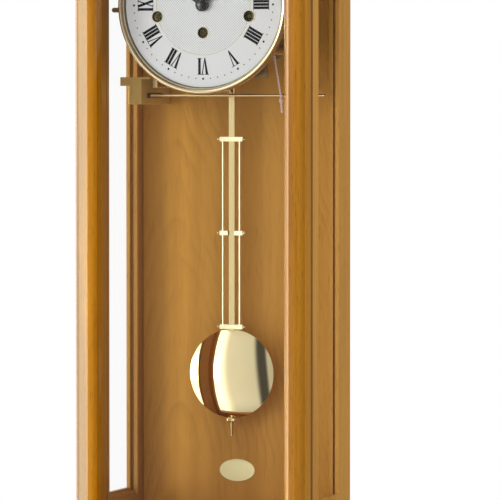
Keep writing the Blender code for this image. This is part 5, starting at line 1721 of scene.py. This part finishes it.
# Cord
@dataclass
class PullCord:
    """The thin cord that hangs from a pillar."""

    out: float = 0.0938
    radius: float = 0.0010
    count: int = 15
    knot_at: int = 11
    route: tuple[Point, ...] = (
        (0.0681, -0.0535), (0.0712, -0.0700), (0.0745, -0.0890), (0.0772, -0.1060), (0.0782, -0.1225)
    )

    def points(self) -> list[Vector]:
        """A smooth line through the route.

        Returns:
            Its points, from the pillar down.
        """
        given = [spot(x, self.out, z) for x, z in self.route]
        ends = [2 * given[0] - given[1]] + given + [2 * given[-1] - given[-2]]
        spans = len(given) - 1
        line = []
        for i in range(self.count):
            along = spans * i / (self.count - 1)
            span = min(int(along), spans - 1)
            t = along - span
            p0, p1, p2, p3 = ends[span : span + 4]
            bend = (2 * p0 - 5 * p1 + 4 * p2 - p3) * t * t + (3 * p1 - p0 - 3 * p2 + p3) * t**3
            line.append(0.5 * (2 * p1 + (p2 - p0) * t + bend))
        return line

    def build(self) -> None:
        """Makes the cord and the knot near its end."""
        line = self.points()
        curve = bpy.data.curves.new("pull_cord_fine", "CURVE")
        curve.dimensions = "3D"
        curve.bevel_depth = self.radius
        curve.bevel_resolution = 4
        curve.use_fill_caps = True
        spline = curve.splines.new("POLY")
        spline.points.add(len(line) - 1)
        for target, point in zip(spline.points, line):
            target.co = (*point, 1.0)
        curve.materials.append(CORD.material())
        cord = bpy.data.objects.new("pull_cord_fine", curve)
        bpy.context.scene.collection.objects.link(cord)
        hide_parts("pull_cord")
        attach(cord, "case")
        LOG.info("made %s on %s", cord.name, "case")
        knot = self.knot(line[self.knot_at])

    def knot(self, place: Vector) -> bpy.types.Object:
        """A small overhand knot, drawn as three turns round the cord.

        Args:
            place: Its middle.

        Returns:
            The knot.
        """
        inner, strand, rise = 0.0012, 0.0007, 0.0012
        ring = arc((inner + strand, 0.0), (strand, strand), 0.0, math.tau, 12)[:-1]
        turns = []
        for i in (-1, 0, 1):
            tilt = Vector((0.35 * i, -0.2 * i, 1.0)).normalized()
            turns.append(turned(ring, place + UP * rise * i, tilt, 24, closed=True))
        return show("cord_knot", merged(turns), CORD, "case")


# Studio
@dataclass
class Studio:
    """Floor, lights, background and camera.

    Attributes:
        floor_z: The floor's height.
        floor_half: Half its width.
        floor_out: Its middle's distance out from the wall.
        yaw: The camera's turn to the right about the pivot.
        distance: The camera's distance from the pivot.
        camera_z: The camera's height.
        pivot_out: The pivot's distance out from the wall.
        aim_right: The aim's distance to the camera's right of the pivot.
        aim_z: The aim's height.
        lens: The camera's focal length in millimetres.
        sky: The level that lights the object from all round.
        brightest: The highest level among the sides.
        plain: The highest level above and below the bright strip.
        strip_edge: The heights between which the bright strip ends.
        overhead: The heights between which the sides dim.
        overhead_level: Their share of light past that.
        slant: How far the sides lean.
        slanted: The angles from straight ahead between which they begin to lean.
        warmth: The tint of the bright sides.
        warm_from: The levels between which it sets in.
        sides: Angles in degrees, each with the level that a reflection sees there.
    """

    floor_z: float = -1.30
    floor_half: float = 2.4
    floor_out: float = 0.6
    yaw: float = math.radians(19.3)
    distance: float = 5.0
    camera_z: float = -0.102
    pivot_out: float = 0.042
    aim_right: float = 0.0208
    aim_z: float = -0.2812
    lens: float = 311.4
    sky: float = 0.58
    brightest: float = 9.5
    plain: float = 2.2
    strip_edge: Point = (0.10, 0.18)
    overhead: Point = (0.45, 0.80)
    overhead_level: float = 0.35
    slant: float = 0.10
    slanted: Point = (math.radians(30), math.radians(15))
    warmth: Colour = (0.87, 1.0, 0.82)
    warm_from: Point = (1.0, 3.0)
    sides: tuple[Point, ...] = (
        (-180, 0.10), (-150, 1.6), (-112, 1.6), (-78, 2.0), (-60, 9.5), (-36, 9.5), (-30, 3.2), (-24, 1.2),
        (-20.5, 0.85), (4, 0.72), (7.5, 0.06), (14.5, 0.06), (16.5, 0.60), (24, 0.38), (40, 0.20), (90, 0.12),
        (180, 0.10),
    )

    def build(self) -> None:
        """Makes the studio."""
        self.world()
        self.floor()
        self.lights()
        self.camera()
        scene = bpy.context.scene
        scene.view_settings.view_transform = "Standard"

    def world(self) -> None:
        """White for the camera, a soft light for the rest, and bright and dark sides for reflections."""
        world = bpy.data.worlds.new("studio")
        world.use_nodes = True
        graph = Graph(world.node_tree)
        back = world.node_tree.nodes["Background"]
        path = graph.add("ShaderNodeLightPath").outputs
        around = graph.add("ShaderNodeTexCoord").outputs["Generated"]
        aim = graph.add("ShaderNodeSeparateXYZ", {0: around}).outputs
        turn = graph.math("ARCTAN2", aim[0], graph.math("MULTIPLY", aim[1], -1.0))
        ahead = graph.span(graph.math("ABSOLUTE", turn), *self.slanted)
        lean = graph.math("MULTIPLY", graph.math("MULTIPLY", aim[2], self.slant), ahead)
        turn = graph.math("ADD", turn, lean)
        stops = [(math.radians(degrees), level / self.brightest) for degrees, level in self.sides]
        seen = graph.math("MAXIMUM", path["Is Camera Ray"], path["Is Transmission Ray"])
        height = graph.math("ABSOLUTE", aim[2])
        mirrored = graph.math("MULTIPLY", graph.ramp(turn, stops), self.brightest)
        most = graph.span(height, *self.strip_edge, self.brightest, self.plain)
        dimmed = graph.span(height, *self.overhead, 1.0, self.overhead_level)
        mirrored = graph.math("MULTIPLY", graph.math("MINIMUM", mirrored, most), dimmed)
        warm = graph.mix(graph.span(mirrored, *self.warm_from), rgba((1.0, 1.0, 1.0)), rgba(self.warmth))
        warm = graph.mix(1.0, warm, mirrored, "MULTIPLY")
        level = graph.mix(path["Is Glossy Ray"], rgba((self.sky,) * 3), warm)
        level = graph.mix(seen, level, rgba((1.0, 1.0, 1.0)))
        graph.set(back.inputs["Color"], level)
        graph.set(back.inputs["Strength"], 1.0)
        bpy.context.scene.world = world

    def floor(self) -> None:
        """The pale floor well below the clock."""
        bm = bmesh.new()
        bmesh.ops.create_grid(bm, x_segments=4, y_segments=4, size=self.floor_half)
        bmesh.ops.translate(bm, verts=bm.verts, vec=spot(0.0, self.floor_out, self.floor_z))
        mesh = bpy.data.meshes.new("studio_floor")
        bm.to_mesh(mesh)
        bm.free()
        mesh.materials.append(Paint("floor_paper", (0.86, 0.86, 0.85), (0.82, 0.82, 0.81), 0.7).material())
        floor = bpy.data.objects.new("studio_floor", mesh)
        bpy.context.scene.collection.objects.link(floor)
        floor.visible_glossy = False

    def lamp(
        self,
        name: str,
        place: Sequence[float],
        aim: Sequence[float],
        size: Point,
        power: float,
        mirrored: bool,
    ) -> None:
        """A soft rectangular light.

        Args:
            name: Its name.
            place: Where it stands.
            aim: The point that it shines at.
            size: Its width and height.
            power: Its power in watts.
            mirrored: Whether reflections show it.
        """
        data = bpy.data.lights.new(name, "AREA")
        data.shape = "RECTANGLE"
        data.size, data.size_y = size
        data.energy = power
        lamp = bpy.data.objects.new(name, data)
        lamp.location = place
        lamp.visible_glossy = mirrored
        lamp.rotation_euler = (Vector(aim) - Vector(place)).to_track_quat("-Z", "Y").to_euler()
        bpy.context.scene.collection.objects.link(lamp)

    def lights(self) -> None:
        """A broad key from the left, a front fill and a strip beside the case."""
        centre = (0.0, -0.1, -0.25)
        self.lamp("key_left", (-1.95, -2.3, -0.32), centre, (0.9, 1.4), 26.0, False)
        self.lamp("fill_front", (0.0, -3.3, 0.6), centre, (1.8, 1.8), 18.0, False)
        self.lamp("side_left", (-1.6, 0.1, -0.2), centre, (0.9, 1.8), 18.0, True)
        self.lamp("side_right", (2.5, 0.2, 0.1), centre, (1.2, 2.0), 9.0, False)

    def camera(self) -> None:
        """The photograph's view."""
        data = bpy.data.cameras.new("photo_camera")
        data.lens = self.lens
        data.sensor_width = 36.0
        data.clip_end = 50.0
        pivot = spot(0.0, self.pivot_out, 0.0)
        right = Vector((math.cos(self.yaw), math.sin(self.yaw), 0.0))
        back = Vector((math.sin(self.yaw), -math.cos(self.yaw), 0.0))
        place = pivot + back * self.distance + UP * self.camera_z
        aim = pivot + right * self.aim_right + UP * self.aim_z
        camera = bpy.data.objects.new("photo_camera", data)
        camera.location = place
        camera.rotation_euler = (aim - place).to_track_quat("-Z", "Y").to_euler()
        bpy.context.scene.collection.objects.link(camera)
        bpy.context.scene.camera = camera


def main() -> None:
    """Builds the clock and its studio."""
    logging.basicConfig(level=logging.INFO)
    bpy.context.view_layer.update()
    for part in (Case(), Door(), Dial(), Hands(), Movement(), Pendulum(), Gong(), PullCord(), Studio()):
        part.build()
        LOG.info("built %s", type(part).__name__)


if __name__ == "__main__":
    main()
